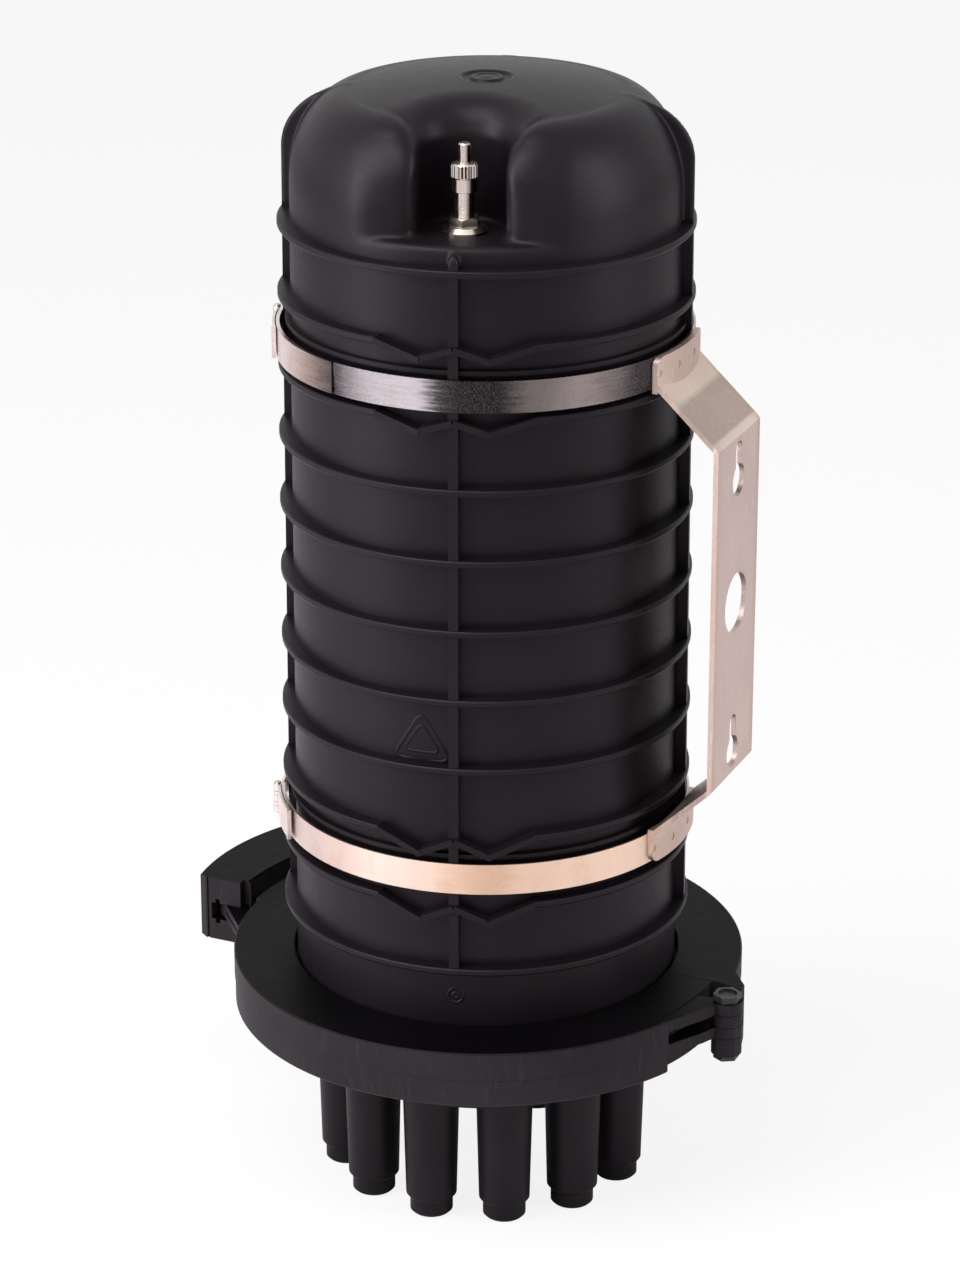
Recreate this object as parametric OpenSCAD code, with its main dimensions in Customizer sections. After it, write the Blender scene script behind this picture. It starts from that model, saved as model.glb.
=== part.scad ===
// Dome splice closure: ribbed dome on a port base, held by a hinged clamp ring,
// with two strap bands that carry a wall bracket, and a charging valve in the crown.
// Millimetres. Z points up, the axis of the dome is Z, and Z = 0 is the plane of the port tips.
// Azimuths are in degrees round Z, from -Y (0) toward +X (90, where the wall bracket stands).

/* [Dome] */
// Turn of the dome and the base in the clamp ring
dome_turn = 14; // [10:1:16]
// Outer radius of the wall at the top rib
tube_r = 75; // [72:0.5:78]
// Wall thickness of the dome
tube_wall = 3.2; // [2.5:0.1:4]
// Widening of the wall per millimetre of depth
draft = 0.005; // [0.003:0.001:0.006]
// Height from the top rib to the crown
crown_h = 56; // [52:0.5:60]
// Radial width of the rounded shoulder
shoulder_w = 23.5; // [20:0.5:30]
// Height of the rounded shoulder
shoulder_h = 35; // [30:0.5:37]
// Rise of the crown inside the shoulder
crown_rise = 5; // [3:0.5:6]
// Radius of the round recess in the crown
crown_recess_r = 9; // [7:0.5:11]
// Depth of the round recess in the crown
crown_recess_d = 1.2; // [0.8:0.1:1.5]
// Radius of the boss inside the crown recess
crown_boss_r = 6.4; // [4:0.2:6.6]

/* [Dome ribs] */
// Number of ring ribs
rib_count = 11; // [10:1:12]
// Distance from rib to rib
rib_pitch = 28; // [27:0.5:29]
// How far the ring ribs stand out of the wall
rib_h = 5; // [4.6:0.1:6]
// Thickness of the ring ribs
rib_t = 2.4; // [1.8:0.1:3]
// How far the upright ribs stand out of the wall
spine_h = 4.2; // [3.6:0.1:4.4]
// Thickness of the upright ribs
spine_t = 3.8; // [3:0.1:5]
// Radius of the upright ribs' corner at the shoulder
spine_corner = 22; // [19:0.5:24]
// Height of the low locating ridge above each band
ridge_h = 2.2; // [1.5:0.1:3]
// Azimuth at which a stepped rib leaves its circle
kink_az = 22; // [19:0.5:24]
// Azimuth of the lowest point of a stepped rib
dip_az = 9.7; // [8:0.1:11]
// Depth of the step of the ribs beside the upper band
upper_dip = 5; // [4:0.5:6]
// Depth of the step of the ribs beside the lower band
lower_dip = 7; // [5:0.5:8]

/* [Valve pocket] */
// Radius of the round back of the pocket
pocket_r = 17; // [15:0.5:19]
// Distance of the valve from the dome's axis
valve_y = 52; // [50:0.5:54]
// Height of the pocket floor over the top rib
pocket_floor = 10; // [8:0.5:12]
// Radius of the lobes beside the mouth of the pocket
lobe_r = 16; // [12:0.5:20]
// Radius of the rounding over the back of the pocket
brow_r = 12; // [8:0.5:14]

/* [Base and ports] */
// Length of the ports below the base
port_len = 56; // [48:1:62]
// Radius of the circle of round ports
port_circle_r = 58; // [56:0.5:59]
// Angle from port to port
port_step = 29.5; // [26:0.5:30]
// Turn of the port pattern against the dome's front rib
port_turn = 1.5; // [0:0.5:2]
// Number of round ports
port_count = 6; // [4:1:6]
// Radius of a round port at its root
port_r = 11.4; // [10:0.1:12]
// Radius of a round port above its tip
port_end_r = 10.2; // [9.4:0.1:10.6]
// Radius of the stepped tip of a round port
port_tip_r = 8.6; // [8:0.1:9]
// Height of the stepped tip
port_tip_h = 7; // [5:0.5:9]
// Radius of the blind hole in a round port
port_bore_r = 7; // [6:0.1:7.2]
// Thickness of the closed port tips
port_cap_t = 2.5; // [2:0.1:4]
// Width of the oval port across its flats
oval_w = 28; // [24:0.5:30]
// Length of the oval port
oval_l = 56; // [50:1:58]
// Distance of the oval port from the axis
oval_y = 47; // [46:0.5:49]
// Depth of the base below the clamp ring
base_skirt = 15; // [12:0.5:18]
// Thickness of the base floor
base_floor_t = 5; // [4:0.5:6]

/* [Clamp ring] */
// Height of the clamp ring
clamp_h = 23; // [21:0.5:25]
// Outer radius of the clamp ring
clamp_r = 102.5; // [101:0.5:104]
// Thickness of the upper and lower lips
clamp_lip = 6; // [5:0.5:7]
// Radius of the flanges that the ring holds together
flange_r = 92.5; // [90:0.5:93]
// Azimuth of the joint between the halves on the hinge side, and of the wall bracket
parting_az = 90; // [90:1:90]
// Azimuth of the hinge bolt
hinge_az = 83.5; // [83:0.5:84]
// Radius on which the hinge bolt stands
hinge_r = 109.5; // [109:0.5:110]
// Outer radius of the hinge knuckles
knuckle_r = 6.1; // [5.5:0.1:6.3]
// Radius of the hinge bolt shank
hinge_bolt_r = 3; // [2.5:0.1:3.3]

/* [Latch] */
// Azimuth of the link's pin in the front half
link_az = -78; // [-79:0.5:-77]
// Radius on which the link's pin stands
link_r = 97; // [97:0.5:97.5]
// Azimuth of the lever's pin
lever_pin_az = -95.5; // [-96.5:0.5:-95]
// Radius on which the lever's pin stands
lever_pin_r = 122; // [121:0.5:123]
// Thickness of the link
link_t = 7; // [6:0.5:7.5]
// Radius of the two latch pins
latch_pin_r = 1.9; // [1.6:0.1:2]
// Height of the lever
lever_h = 28; // [27:0.5:29]
// Inner radius of the lever round the ring
lever_in_r = 110; // [110:0.5:111]
// Outer radius of the lever's arc
lever_arc_r = 98.6; // [97:0.2:100]
// Wall thickness of the lever
lever_wall = 3.2; // [2.5:0.1:4]

/* [Bands] */
// Width of the strap bands
band_w = 12.4; // [11:0.2:13]
// Thickness of the strap bands
band_t = 0.8; // [0.5:0.1:1]
// Distance of each band's middle below the rib above it
band_drop = 17; // [16:0.5:18]
// How much nearer the lower band lies to the rib above it
lower_band_lift = 2; // [0:0.5:3]
// Length of a clasp lever
clasp_len = 28; // [24:1:30]
// Clearance between the bands and the upright ribs
band_gap = 0.1; // [0.08:0.01:0.15]
// Azimuth of the upper band's clasp pin
upper_clasp_az = -78; // [-80:1:-76]
// Azimuth of the lower band's clasp pin
lower_clasp_az = -66; // [-68:1:-64]
// Radius of a clasp pin
clasp_pin_r = 1.1; // [0.9:0.1:1.3]

/* [Wall bracket] */
// Width of the bracket
bracket_w = 46; // [44:1:50]
// Thickness of the bracket sheet
bracket_t = 2; // [1.5:0.1:2.5]
// Distance of the mounting face from the dome's axis
bracket_d = 104; // [102:0.5:108]
// Height of the flat mounting face
bracket_face_h = 140; // [135:1:145]
// Radius of the round hole
bracket_hole_r = 12; // [10:0.5:13]
// Radius of the round end of a keyhole
keyhole_r = 6.4; // [5.5:0.1:7]
// Width of the slot of a keyhole
keyhole_slot = 7; // [6:0.2:8]
// Rise of the slot above the round end
keyhole_rise = 12; // [11:0.5:14]
// Distance between the keyholes
keyhole_pitch = 112; // [108:1:113]

/* [Valve] */
// Radius of the threaded stem
stem_r = 3.6; // [3.2:0.1:3.8]
// Height of the stem over the pocket floor
stem_h = 24.6; // [23:0.2:26]
// Radius of the washer
washer_r = 8.6; // [7.5:0.1:9]
// Thickness of the washer
washer_t = 2.4; // [1.8:0.1:2.6]
// Width across the flats of the nut
nut_af = 10.4; // [10:0.2:11]
// Height of the nut
nut_h = 3.4; // [3:0.1:4]
// Radius of the knurled ring of the cap
cap_r = 5.1; // [4.9:0.1:5.6]
// Number of grooves in the knurl
knurl_count = 24; // [18:2:30]

/* [Splice trays] */
// Number of trays
tray_count = 4; // [3:1:4]
// Width of a tray
tray_w = 92; // [86:1:94]
// Length of a tray
tray_l = 170; // [160:1:175]
// Height of the rim of a tray
tray_h = 8; // [7:0.5:8.5]
// Distance from tray to tray
tray_pitch = 9; // [9:0.5:9.5]
// Thickness of the tray's floor and rim
tray_t = 1.6; // [1.2:0.1:2]
// Height of the inner frame over the base floor
frame_h = 285; // [280:1:290]
// Thickness of the inner frame
frame_t = 2; // [1.5:0.1:3]

/* [Fits] */
// Gap between pieces that lie face to face
seat_gap = 0.05; // [0.05:0.01:0.1]
// Radial gap of a pin in its hole
pin_gap = 0.08; // [0.05:0.01:0.1]
// Gap between pieces that slide past each other
slide_gap = 0.2; // [0.15:0.05:0.3]
// Gap round soft and moulded pieces
free_gap = 0.4; // [0.3:0.05:0.5]

/* [Hidden] */
$fn = 96;
eps = 0.01;
round_steps = 14;

// Heights of the main levels
clamp_z0 = port_len + base_skirt;
clamp_z1 = clamp_z0 + clamp_h;
groove_z0 = clamp_z0 + clamp_lip;
groove_z1 = clamp_z1 - clamp_lip;
flange_split = (groove_z0 + groove_z1) / 2;
rib_z0 = clamp_z1 + 23;
rib_top = rib_z0 + (rib_count - 1) * rib_pitch;
crown_z = rib_top + crown_h;
shoulder_z = crown_z - crown_rise - shoulder_h;
floor_z = rib_top + pocket_floor;
upper_band_z = rib_top - rib_pitch - band_drop;
lower_band_z = rib_z0 + 2 * rib_pitch - band_drop + lower_band_lift;
bracket_z = (upper_band_z + lower_band_z) / 2;

function wall_r(z) = tube_r + draft * (rib_top - z);
function at(az, r) = [r * sin(az), -r * cos(az)];
function ellipse_arc(a, b, r0, z0) =
    [for (i = [0 : round_steps]) let (t = 90 * i / round_steps) [r0 + a * cos(t), z0 + b * sin(t)]];
function crown_arc(r0, z1, rise) =
    [for (i = [round_steps - 1 : -1 : 0]) let (q = i / round_steps, flat = 1 / round_steps)
        [r0 * q, z1 - rise * max(0, q * q - flat * flat)]];

// Turns a shape drawn at the front to an azimuth
module to_az(az) {
    rotate([0, 0, az]) children();
}

// Turns a flat profile (radius, height) about the axis from one azimuth to another
module sweep_az(az0, az1) {
    rotate([0, 0, az0 - 90])
        rotate_extrude(angle = az1 - az0) children();
}

// Turns the dome and what belongs to it
module turned() {
    to_az(dome_turn) children();
}

// Flat wedge between two azimuths, seen from above
module wedge(az0, az1, reach) {
    mid = (az0 + az1) / 2;
    polygon([[0, 0], at(az0, reach), at(mid, reach * 1.4), at(az1, reach)]);
}

// Straight flat bar between two points, seen from above
module flat_bar(p, q, w) {
    d = q - p;
    translate(p) rotate(atan2(d[1], d[0]))
        translate([0, -w / 2]) square([norm(d), w]);
}

module at_height(z0, z1) {
    translate([0, 0, z0]) linear_extrude(z1 - z0) children();
}

// ---------------------------------------------------------------- dome

module dome_outline() {
    r0 = tube_r - shoulder_w;
    z1 = crown_z - crown_rise;
    polygon(concat(
        [[0, flange_split + seat_gap], [flange_r, flange_split + seat_gap],
         [flange_r, groove_z1 - slide_gap], [wall_r(groove_z1), groove_z1 - slide_gap]],
        ellipse_arc(shoulder_w, shoulder_h, r0, shoulder_z),
        crown_arc(r0, crown_z, crown_rise)
    ));
}

module dome_bore_outline() {
    r0 = tube_r - shoulder_w;
    z1 = crown_z - tube_wall;
    polygon(concat(
        [[0, flange_split - 1], [wall_r(flange_split) - tube_wall, flange_split - 1]],
        ellipse_arc(shoulder_w - tube_wall, shoulder_h - tube_wall, r0, shoulder_z),
        crown_arc(r0, z1, crown_rise)
    ));
}

module ring_rib(z, az0, az1) {
    r = wall_r(z);
    sweep_az(az0, az1)
        polygon([[r - 1, z - 0.6], [r + rib_h - 0.4, z - 0.2], [r + rib_h, z + 0.4],
                 [r + rib_h, z + rib_t - 0.4], [r + rib_h - 0.4, z + rib_t], [r - 1, z + rib_t + 0.4]]);
}

// One straight run of a stepped rib, from azimuth and height to azimuth and height
module rib_run(az0, z0, az1, z1) {
    r = wall_r(z0);
    len = 2 * (r + rib_h) * sin(abs(az1 - az0) / 2);
    rise = atan2(z1 - z0, len) * sign(az1 - az0);
    sunk = 1.5;
    to_az((az0 + az1) / 2)
        translate([0, -(r + (rib_h - sunk) / 2), (z0 + z1 + rib_t) / 2])
            rotate([0, -rise, 0])
                cube([norm([len, z1 - z0]) + rib_t / 2, rib_h + sunk, rib_t], center = true);
}

module stepped_rib(z, dip) {
    ring_rib(z, kink_az, 360 - kink_az);
    for (side = [-1, 1]) {
        rib_run(side * kink_az, z, side * dip_az, z - dip);
        rib_run(side * dip_az, z - dip, side * 0.5, z - dip / 6);
    }
}

// Upright rib: follows the wall and dies out into the crown
module spine_outline(top) {
    r0 = tube_r - shoulder_w;
    sunk = 2;
    intersection() {
        polygon(concat(
            [[tube_r - shoulder_w, rib_z0], [wall_r(rib_z0) + spine_h, rib_z0],
             [wall_r(rib_top) + spine_h, rib_top]],
            ellipse_arc(spine_corner, spine_corner, tube_r + spine_h - spine_corner,
                        shoulder_z + shoulder_h + 1 - spine_corner),
            [[r0, shoulder_z + shoulder_h]]
        ));
        difference() {
            translate([r0, rib_z0]) square([shoulder_w + rib_pitch, top - rib_z0]);
            polygon(concat(
                [[0, rib_z0 - 1], [wall_r(rib_z0) - sunk, rib_z0 - 1]],
                ellipse_arc(shoulder_w - sunk, shoulder_h - sunk, r0, shoulder_z),
                [[0, shoulder_z + shoulder_h - sunk]]
            ));
        }
    }
}

module spine(az, top) {
    rotate([0, 0, az - 90]) rotate([90, 0, 0])
        translate([0, 0, -spine_t / 2]) linear_extrude(spine_t) spine_outline(top);
}

// Pocket for the valve: round at the back, flaring into the wall at its mouth
module pocket_plan(grow) {
    reach = tube_r + 3 * rib_h;
    mouth_y = valve_y + 5;
    half = pocket_r + grow;
    translate([0, -valve_y]) circle(r = half);
    translate([-half, -reach]) square([2 * half, reach - valve_y]);
    difference() {
        translate([-half - lobe_r, -reach]) square([2 * (half + lobe_r), reach - mouth_y]);
        for (side = [-1, 1])
            translate([side * (half + lobe_r), -mouth_y]) circle(r = lobe_r);
    }
}

module pocket_brow(grow) {
    r = pocket_r + brow_r;
    z = crown_z - brow_r - 2;
    translate([0, -valve_y, 0]) rotate_extrude()
        difference() {
            translate([0, z]) square([r, 3 * brow_r]);
            translate([r, z]) circle(r = brow_r - grow);
        }
}

module pocket(grow) {
    at_height(floor_z - grow, crown_z + 1) pocket_plan(grow);
    pocket_brow(grow);
}

module dome() {
    stepped = [rib_top - rib_pitch, rib_top - 2 * rib_pitch, rib_z0 + 2 * rib_pitch, rib_z0 + rib_pitch];
    color([0.07, 0.07, 0.08]) turned() difference() {
        union() {
            rotate_extrude() dome_outline();
            for (i = [0 : rib_count - 1]) {
                z = rib_z0 + i * rib_pitch;
                if (len(search(z, stepped)) == 0) ring_rib(z, 0, 360);
            }
            for (z = stepped) stepped_rib(z, z > crown_z / 2 ? upper_dip : lower_dip);
            for (z = [upper_band_z, lower_band_z]) band_ridge(z + band_w / 2 + 1);
            spine(0, floor_z - 2);
            for (az = [90, 180, 270]) spine(az, crown_z);
        }
        pocket(0);
        difference() {
            rotate_extrude() dome_bore_outline();
            pocket(tube_wall);
        }
        translate([0, -valve_y, floor_z - 2 * tube_wall])
            cylinder(h = 3 * tube_wall, r = stem_r + slide_gap);
        crown_mark_recess();
    }
}

module band_ridge(z) {
    r = wall_r(z);
    sweep_az(0, 360)
        polygon([[r - 1, z - 0.2], [r + ridge_h, z], [r + ridge_h, z + 1.8], [r - 1, z + 2.2]]);
}

// Round recess in the crown with a flat boss in its middle
module crown_mark_recess() {
    translate([0, 0, crown_z - crown_recess_d]) difference() {
        cylinder(h = 3, r = crown_recess_r);
        translate([0, 0, -1]) cylinder(h = 1 + crown_recess_d - 0.2, r = crown_boss_r);
    }
}

// ---------------------------------------------------------------- base

seal_r = (wall_r(flange_split) + flange_r) / 2;
seal_w = 5.2;
seal_depth = 3.6;
base_r = wall_r(clamp_z0) - 0.6;
base_bore_r = base_r - 5;
spigot_r = wall_r(clamp_z1) - tube_wall - slide_gap;
base_floor_z = port_len + base_floor_t;
boss_x = 36;
boss_y = 16;
boss_h = 4;
screw_r = 1.6;

module port_outline() {
    polygon([[0, 0], [port_tip_r - 1, 0], [port_tip_r, 1], [port_tip_r, port_tip_h - 0.5],
             [port_end_r - 1, port_tip_h], [port_end_r, port_tip_h + 1.2],
             [port_r, port_len], [port_r, port_len + 1], [0, port_len + 1]]);
}

module oval_plan(inset) {
    half = (oval_l - oval_w) / 2;
    for (side = [-1, 1])
        translate([side * half, oval_y]) circle(r = oval_w / 2 - inset);
    translate([-half, oval_y - oval_w / 2 + inset]) square([2 * half, oval_w - 2 * inset]);
}

function port_az(i) = port_turn + (i - (port_count - 1) / 2) * port_step;

module base() {
    color([0.06, 0.06, 0.07]) turned() difference() {
        union() {
            rotate_extrude()
                polygon([[0, port_len], [base_r - 1.5, port_len], [base_r, port_len + 1.5],
                         [base_r, groove_z0 + slide_gap], [flange_r, groove_z0 + slide_gap],
                         [flange_r, flange_split], [spigot_r, flange_split],
                         [spigot_r, flange_split + 7], [spigot_r - 1, flange_split + 8],
                         [base_bore_r, flange_split + 8], [base_bore_r, base_floor_z],
                         [0, base_floor_z]]);
            for (i = [0 : port_count - 1])
                translate(concat(at(port_az(i), port_circle_r), 0)) rotate_extrude() port_outline();
            at_height(0, port_tip_h) oval_plan(1.6);
            at_height(port_tip_h, port_len + 1) oval_plan(0);
            for (side = [-1, 1])
                translate([side * boss_x, boss_y, base_floor_z - 1]) cylinder(h = boss_h + 1, r = 4.5);
        }
        for (i = [0 : port_count - 1])
            translate(concat(at(port_az(i), port_circle_r), port_cap_t))
                cylinder(h = port_len + base_floor_t, r = port_bore_r);
        at_height(port_cap_t, base_floor_z + 1) oval_plan(3.6);
        translate([0, 0, flange_split - seal_depth]) rotate_extrude()
            translate([seal_r - seal_w / 2, 0]) square([seal_w, seal_depth + 1]);
        for (side = [-1, 1])
            translate([side * boss_x, boss_y, base_floor_z + boss_h - 8]) cylinder(h = 10, r = screw_r);
    }
}

module dome_seal() {
    h = seal_depth + seat_gap - 0.04;
    color([0.10, 0.10, 0.11]) translate([0, 0, flange_split - seal_depth + 0.02])
        rotate_extrude() translate([seal_r, h / 2])
            intersection() {
                circle(r = seal_w / 2 - 0.05);
                square([seal_w, h], center = true);
            }
}

// ---------------------------------------------------------------- clamp ring

clamp_bore_r = wall_r(clamp_z0) + 1;
groove_r = flange_r + 1;
clamp_mid = (clamp_z0 + clamp_z1) / 2;
lug_r = clamp_r - 5;
knuckles = [clamp_z1, clamp_z1 - 5.2, clamp_z1 - 10.4, clamp_z1 - 15.2, clamp_z0];
knuckle_gap = 0.12;
hinge_p = at(hinge_az, hinge_r);
ear_x = 105;
ear_y = 24.6;
link_p = at(link_az, link_r);
lever_p = at(lever_pin_az, lever_pin_r);
link_z0 = clamp_mid - link_t / 2;
link_z1 = clamp_mid + link_t / 2;
half_gap = 0.1;

module clamp_outline(r) {
    polygon([[clamp_bore_r, clamp_z0], [r - 1, clamp_z0], [r - 0.3, clamp_z0 + 0.8],
             [r - 0.3, clamp_mid], [r, clamp_mid], [r, clamp_z1 - 0.6], [r - 0.6, clamp_z1],
             [clamp_bore_r + 0.6, clamp_z1], [clamp_bore_r, clamp_z1 - 0.6],
             [clamp_bore_r, groove_z1], [groove_r, groove_z1],
             [groove_r, groove_z0], [clamp_bore_r, groove_z0]]);
}

module knuckle(top, i) {
    at_height(knuckles[i + 1] + knuckle_gap, knuckles[i] - top) circle(r = knuckle_r, $fn = 64);
}

// Set-back wall beside the hinge
module lug_recess(az0, az1) {
    at_height(clamp_z0 - 1, clamp_z1 + 1) difference() {
        wedge(az0, az1, 2 * clamp_r);
        circle(r = lug_r);
    }
}

module clamp_front_half() {
    az0 = parting_az - 180 + half_gap;
    az1 = parting_az - half_gap;
    lug_az = 67.2;
    slot_az = link_az + 4.5;
    color([0.10, 0.10, 0.11]) difference() {
        union() {
            difference() {
                sweep_az(az0, az1) clamp_outline(clamp_r);
                lug_recess(lug_az, az1 + 2);
            }
            for (i = [0, 2])
                at_height(knuckles[i + 1] + knuckle_gap, knuckles[i] - (i == 0 ? 0.3 : knuckle_gap)) {
                    polygon([at(lug_az - 3, lug_r - 3), at(lug_az, clamp_r - 0.2), [ear_x - 1.8, -ear_y],
                             [ear_x + 0.5, hinge_p[1] - knuckle_r - 1], hinge_p, at(hinge_az - 2, lug_r - 3)]);
                    translate(hinge_p) circle(r = knuckle_r);
                }
        }
        translate(concat(hinge_p, clamp_z0 - 1))
            cylinder(h = clamp_h + 2, r = hinge_bolt_r + pin_gap);
        for (i = [1, 3])
            translate(concat(hinge_p, knuckles[i + 1] - knuckle_gap))
                cylinder(h = knuckles[i] - knuckles[i + 1] + 2 * knuckle_gap, r = knuckle_r + free_gap);
        at_height(link_z0 - slide_gap, link_z1 + slide_gap)
            difference() {
                wedge(parting_az - 181, slot_az, 2 * clamp_r);
                circle(r = flange_r);
            }
        at_height(clamp_z0 - 1, link_z0)
            difference() {
                wedge(parting_az - 181, slot_az, 2 * clamp_r);
                circle(r = link_r + latch_pin_r + 1);
            }
        translate(concat(link_p, clamp_z0 + 2))
            cylinder(h = clamp_h - 4, r = latch_pin_r + seat_gap);
    }
}

module clamp_rear_half() {
    az0 = parting_az + half_gap;
    az1 = parting_az + 180 - half_gap;
    color([0.10, 0.10, 0.11]) difference() {
        union() {
            difference() {
                sweep_az(az0, az1) clamp_outline(clamp_r + 1.5);
                lug_recess(az0 - 2, 97);
            }
            at_height(clamp_z0 + 1, clamp_z1)
                polygon([[lug_r - 4, half_gap], [lug_r - 6, 14], [ear_x - 4, 15], [ear_x + 6, 1.5],
                         [ear_x + 6, -2], [ear_x - 4, half_gap]]);
            for (i = [1, 3])
                at_height(knuckles[i + 1] + (i == 3 ? 0 : knuckle_gap), knuckles[i] - knuckle_gap) {
                    polygon([hinge_p, [hinge_p[0] - knuckle_r + 1, hinge_p[1]], [ear_x - 1, 4], [ear_x + 6, 1.5],
                             [hinge_p[0] + knuckle_r - 0.4, hinge_p[1]]]);
                    translate(hinge_p) circle(r = knuckle_r);
                }
            at_height(clamp_z0 + 5, clamp_z1 - 8)
                intersection() {
                    difference() {
                        circle(r = lever_in_r - 0.8);
                        circle(r = clamp_r - 2);
                    }
                    wedge(258.5, 263.5, 2 * clamp_r);
                }
        }
        translate(concat(hinge_p, clamp_z0 - 1))
            cylinder(h = clamp_h + 2, r = hinge_bolt_r + pin_gap);
        for (i = [0, 2])
            translate(concat(hinge_p, knuckles[i + 1] - knuckle_gap))
                cylinder(h = knuckles[i] - knuckles[i + 1] + 2 * knuckle_gap, r = knuckle_r + free_gap);
    }
}

module hex_prism(af, h) {
    rotate([0, 0, 30]) cylinder(h = h, r = af / sqrt(3), $fn = 6);
}

bolt_af = 10;
bolt_head_h = 2.8;
nut_flats = 9;
bolt_nut_h = 2.4;

module hinge_bolt() {
    color([0.05, 0.05, 0.05]) translate(concat(hinge_p, clamp_z1 - 0.3 + seat_gap)) {
        difference() {
            hex_prism(bolt_af, bolt_head_h);
            translate([0, 0, bolt_head_h - 1]) cylinder(h = 2, r = 3.8);
        }
        translate([0, 0, -clamp_h - 2.6]) cylinder(h = clamp_h + 2.6 + eps, r = hinge_bolt_r);
    }
}

module hinge_nut() {
    color([0.05, 0.05, 0.05]) translate(concat(hinge_p, clamp_z0 - bolt_nut_h - seat_gap)) difference() {
        hex_prism(nut_flats, bolt_nut_h);
        translate([0, 0, -1]) cylinder(h = 7, r = hinge_bolt_r + seat_gap);
    }
}

// ---------------------------------------------------------------- latch

module link_plan(grow) {
    translate(link_p) circle(r = 3.8 + grow);
    translate(lever_p) circle(r = 5 + grow);
    flat_bar(link_p, lever_p, 8 + 2 * grow);
}

module latch_link() {
    edge = (lever_p - link_p) / norm(lever_p - link_p);
    side = [edge[1], -edge[0]];
    color([0.09, 0.09, 0.10]) difference() {
        at_height(link_z0, link_z1) link_plan(0);
        for (p = [link_p, lever_p])
            translate(concat(p, link_z0 - 1)) cylinder(h = link_t + 2, r = latch_pin_r + pin_gap);
        at_height(clamp_mid - 0.5, clamp_mid + 0.5)
            flat_bar(link_p + 8 * edge - 4 * side, lever_p - 6 * edge - 4 * side, 1.4);
    }
}

module latch_link_pin() {
    color([0.5, 0.5, 0.52]) translate(concat(link_p, clamp_z0 + 2 + seat_gap))
        cylinder(h = clamp_h - 4 - 2 * seat_gap, r = latch_pin_r);
}

lever_c = at(-117.2, 39.5);
lever_z0 = clamp_z0 - 1.5;
lever_z1 = lever_z0 + lever_h;
lever_az0 = -91.6;
lever_az1 = -156;

module lever_plan(inset, az0, az1) {
    intersection() {
        difference() {
            translate(lever_c) circle(r = lever_arc_r - inset);
            circle(r = lever_in_r + inset);
        }
        wedge(az1, az0, 2 * lever_arc_r);
    }
}

module latch_lever() {
    along = at(lever_az0, 1);
    back = at(lever_az0 - 90, 1);
    reach = along * lever_c;
    corner = along * (reach + sqrt(reach * reach - lever_c * lever_c + lever_arc_r * lever_arc_r));
    strip_w = 3.4;
    turn = 46;
    cells = 3;
    cell_az0 = -105;
    cell_step = (lever_az1 + 3 - cell_az0) / cells;
    color([0.09, 0.09, 0.10]) difference() {
        union() {
            at_height(lever_z0, lever_z1 - 1) lever_plan(0, lever_az0, lever_az1);
            at_height(lever_z1 - 1 - eps, lever_z1) lever_plan(0.8, lever_az0, lever_az1);
        }
        at_height(lever_z0 - 1, lever_z1 + 1)
            intersection() {
                circle(r = lever_in_r + 3);
                wedge(-93.5, -90, 2 * lever_arc_r);
            }
        for (i = [0 : cells - 1])
            at_height(lever_z0 - 1, lever_z1 - lever_wall)
                lever_plan(lever_wall, cell_az0 + i * cell_step, cell_az0 + (i + 1) * cell_step + 1.4);
        at_height(link_z0 - slide_gap, link_z1 + slide_gap)
            for (a = [-4, 6, 16, 26, 36, turn])
                translate(lever_p) rotate(-a) translate(-lever_p) link_plan(free_gap);
        at_height(lever_z0 - 1, lever_z1 + 1) {
            polygon([corner - strip_w * along - 0.1 * back, corner + along - 0.1 * back,
                     corner + along + 3 * back]);
            polygon([corner - (strip_w + 0.6) * along - back, corner - (strip_w + 1.4) * along - back,
                     corner - (strip_w + 1.4) * along + 0.7 * back,
                     corner - (strip_w + 0.6) * along + 0.7 * back]);
        }
        at_height(clamp_mid - 5.5, clamp_mid + 5.5)
            flat_bar(at(-90, 124), at(-94.4, 124), 2);
        translate(concat(lever_p, lever_z0 - 1)) cylinder(h = lever_h - 1, r = latch_pin_r + pin_gap);
    }
}

module latch_lever_pin() {
    color([0.5, 0.5, 0.52]) translate(concat(lever_p, lever_z0 + 0.5))
        cylinder(h = lever_h - 3, r = latch_pin_r);
}

// ---------------------------------------------------------------- bands

eye_r = 1.9;
clasp_gap = 12;
hook_t = 1;
link_eye = 1.4;
doubler_t = band_t * 0.75;
lever_t = 1;
lever_clear = 0.45;
knuckle_half = band_w / 4;

function band_in(z) = wall_r(z - band_w / 2) + spine_h + band_gap;
function band_out(z) = band_in(z) + band_t;
function clasp_p(z) = [0, -(band_out(z) + eye_r + 0.2)];
function arc_az(len, z) = len * 180 / PI / band_out(z);

// The band with its clasp pin at the front: the clasp's lever lies over the doubled end, and the
// other end carries the hook for the link
module band_at_front(z, doubler_az) {
    gap_az = arc_az(clasp_gap, z);
    sweep_az(0, 360 - gap_az)
        translate([band_in(z), z - band_w / 2]) square([band_t, band_w]);
    sweep_az(1, doubler_az)
        translate([band_out(z) - eps, z - band_w / 2]) square([doubler_t, band_w]);
    difference() {
        for (side = [-1, 1])
            translate([0, 0, z + side * (band_w / 2 - knuckle_half / 2)])
                linear_extrude(knuckle_half - slide_gap, center = true) {
                    translate(clasp_p(z)) circle(r = eye_r, $fn = 32);
                    translate([0, clasp_p(z)[1]]) square([eye_r, -clasp_p(z)[1] - band_in(z) - 0.2]);
                }
        translate(concat(clasp_p(z), z - band_w)) cylinder(h = 2 * band_w, r = clasp_pin_r + pin_gap);
    }
    to_az(-gap_az) translate([-2 * hook_t, -band_out(z) - 1.7, z - 2.4]) cube([hook_t, 2.2, 4.8]);
}

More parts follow.
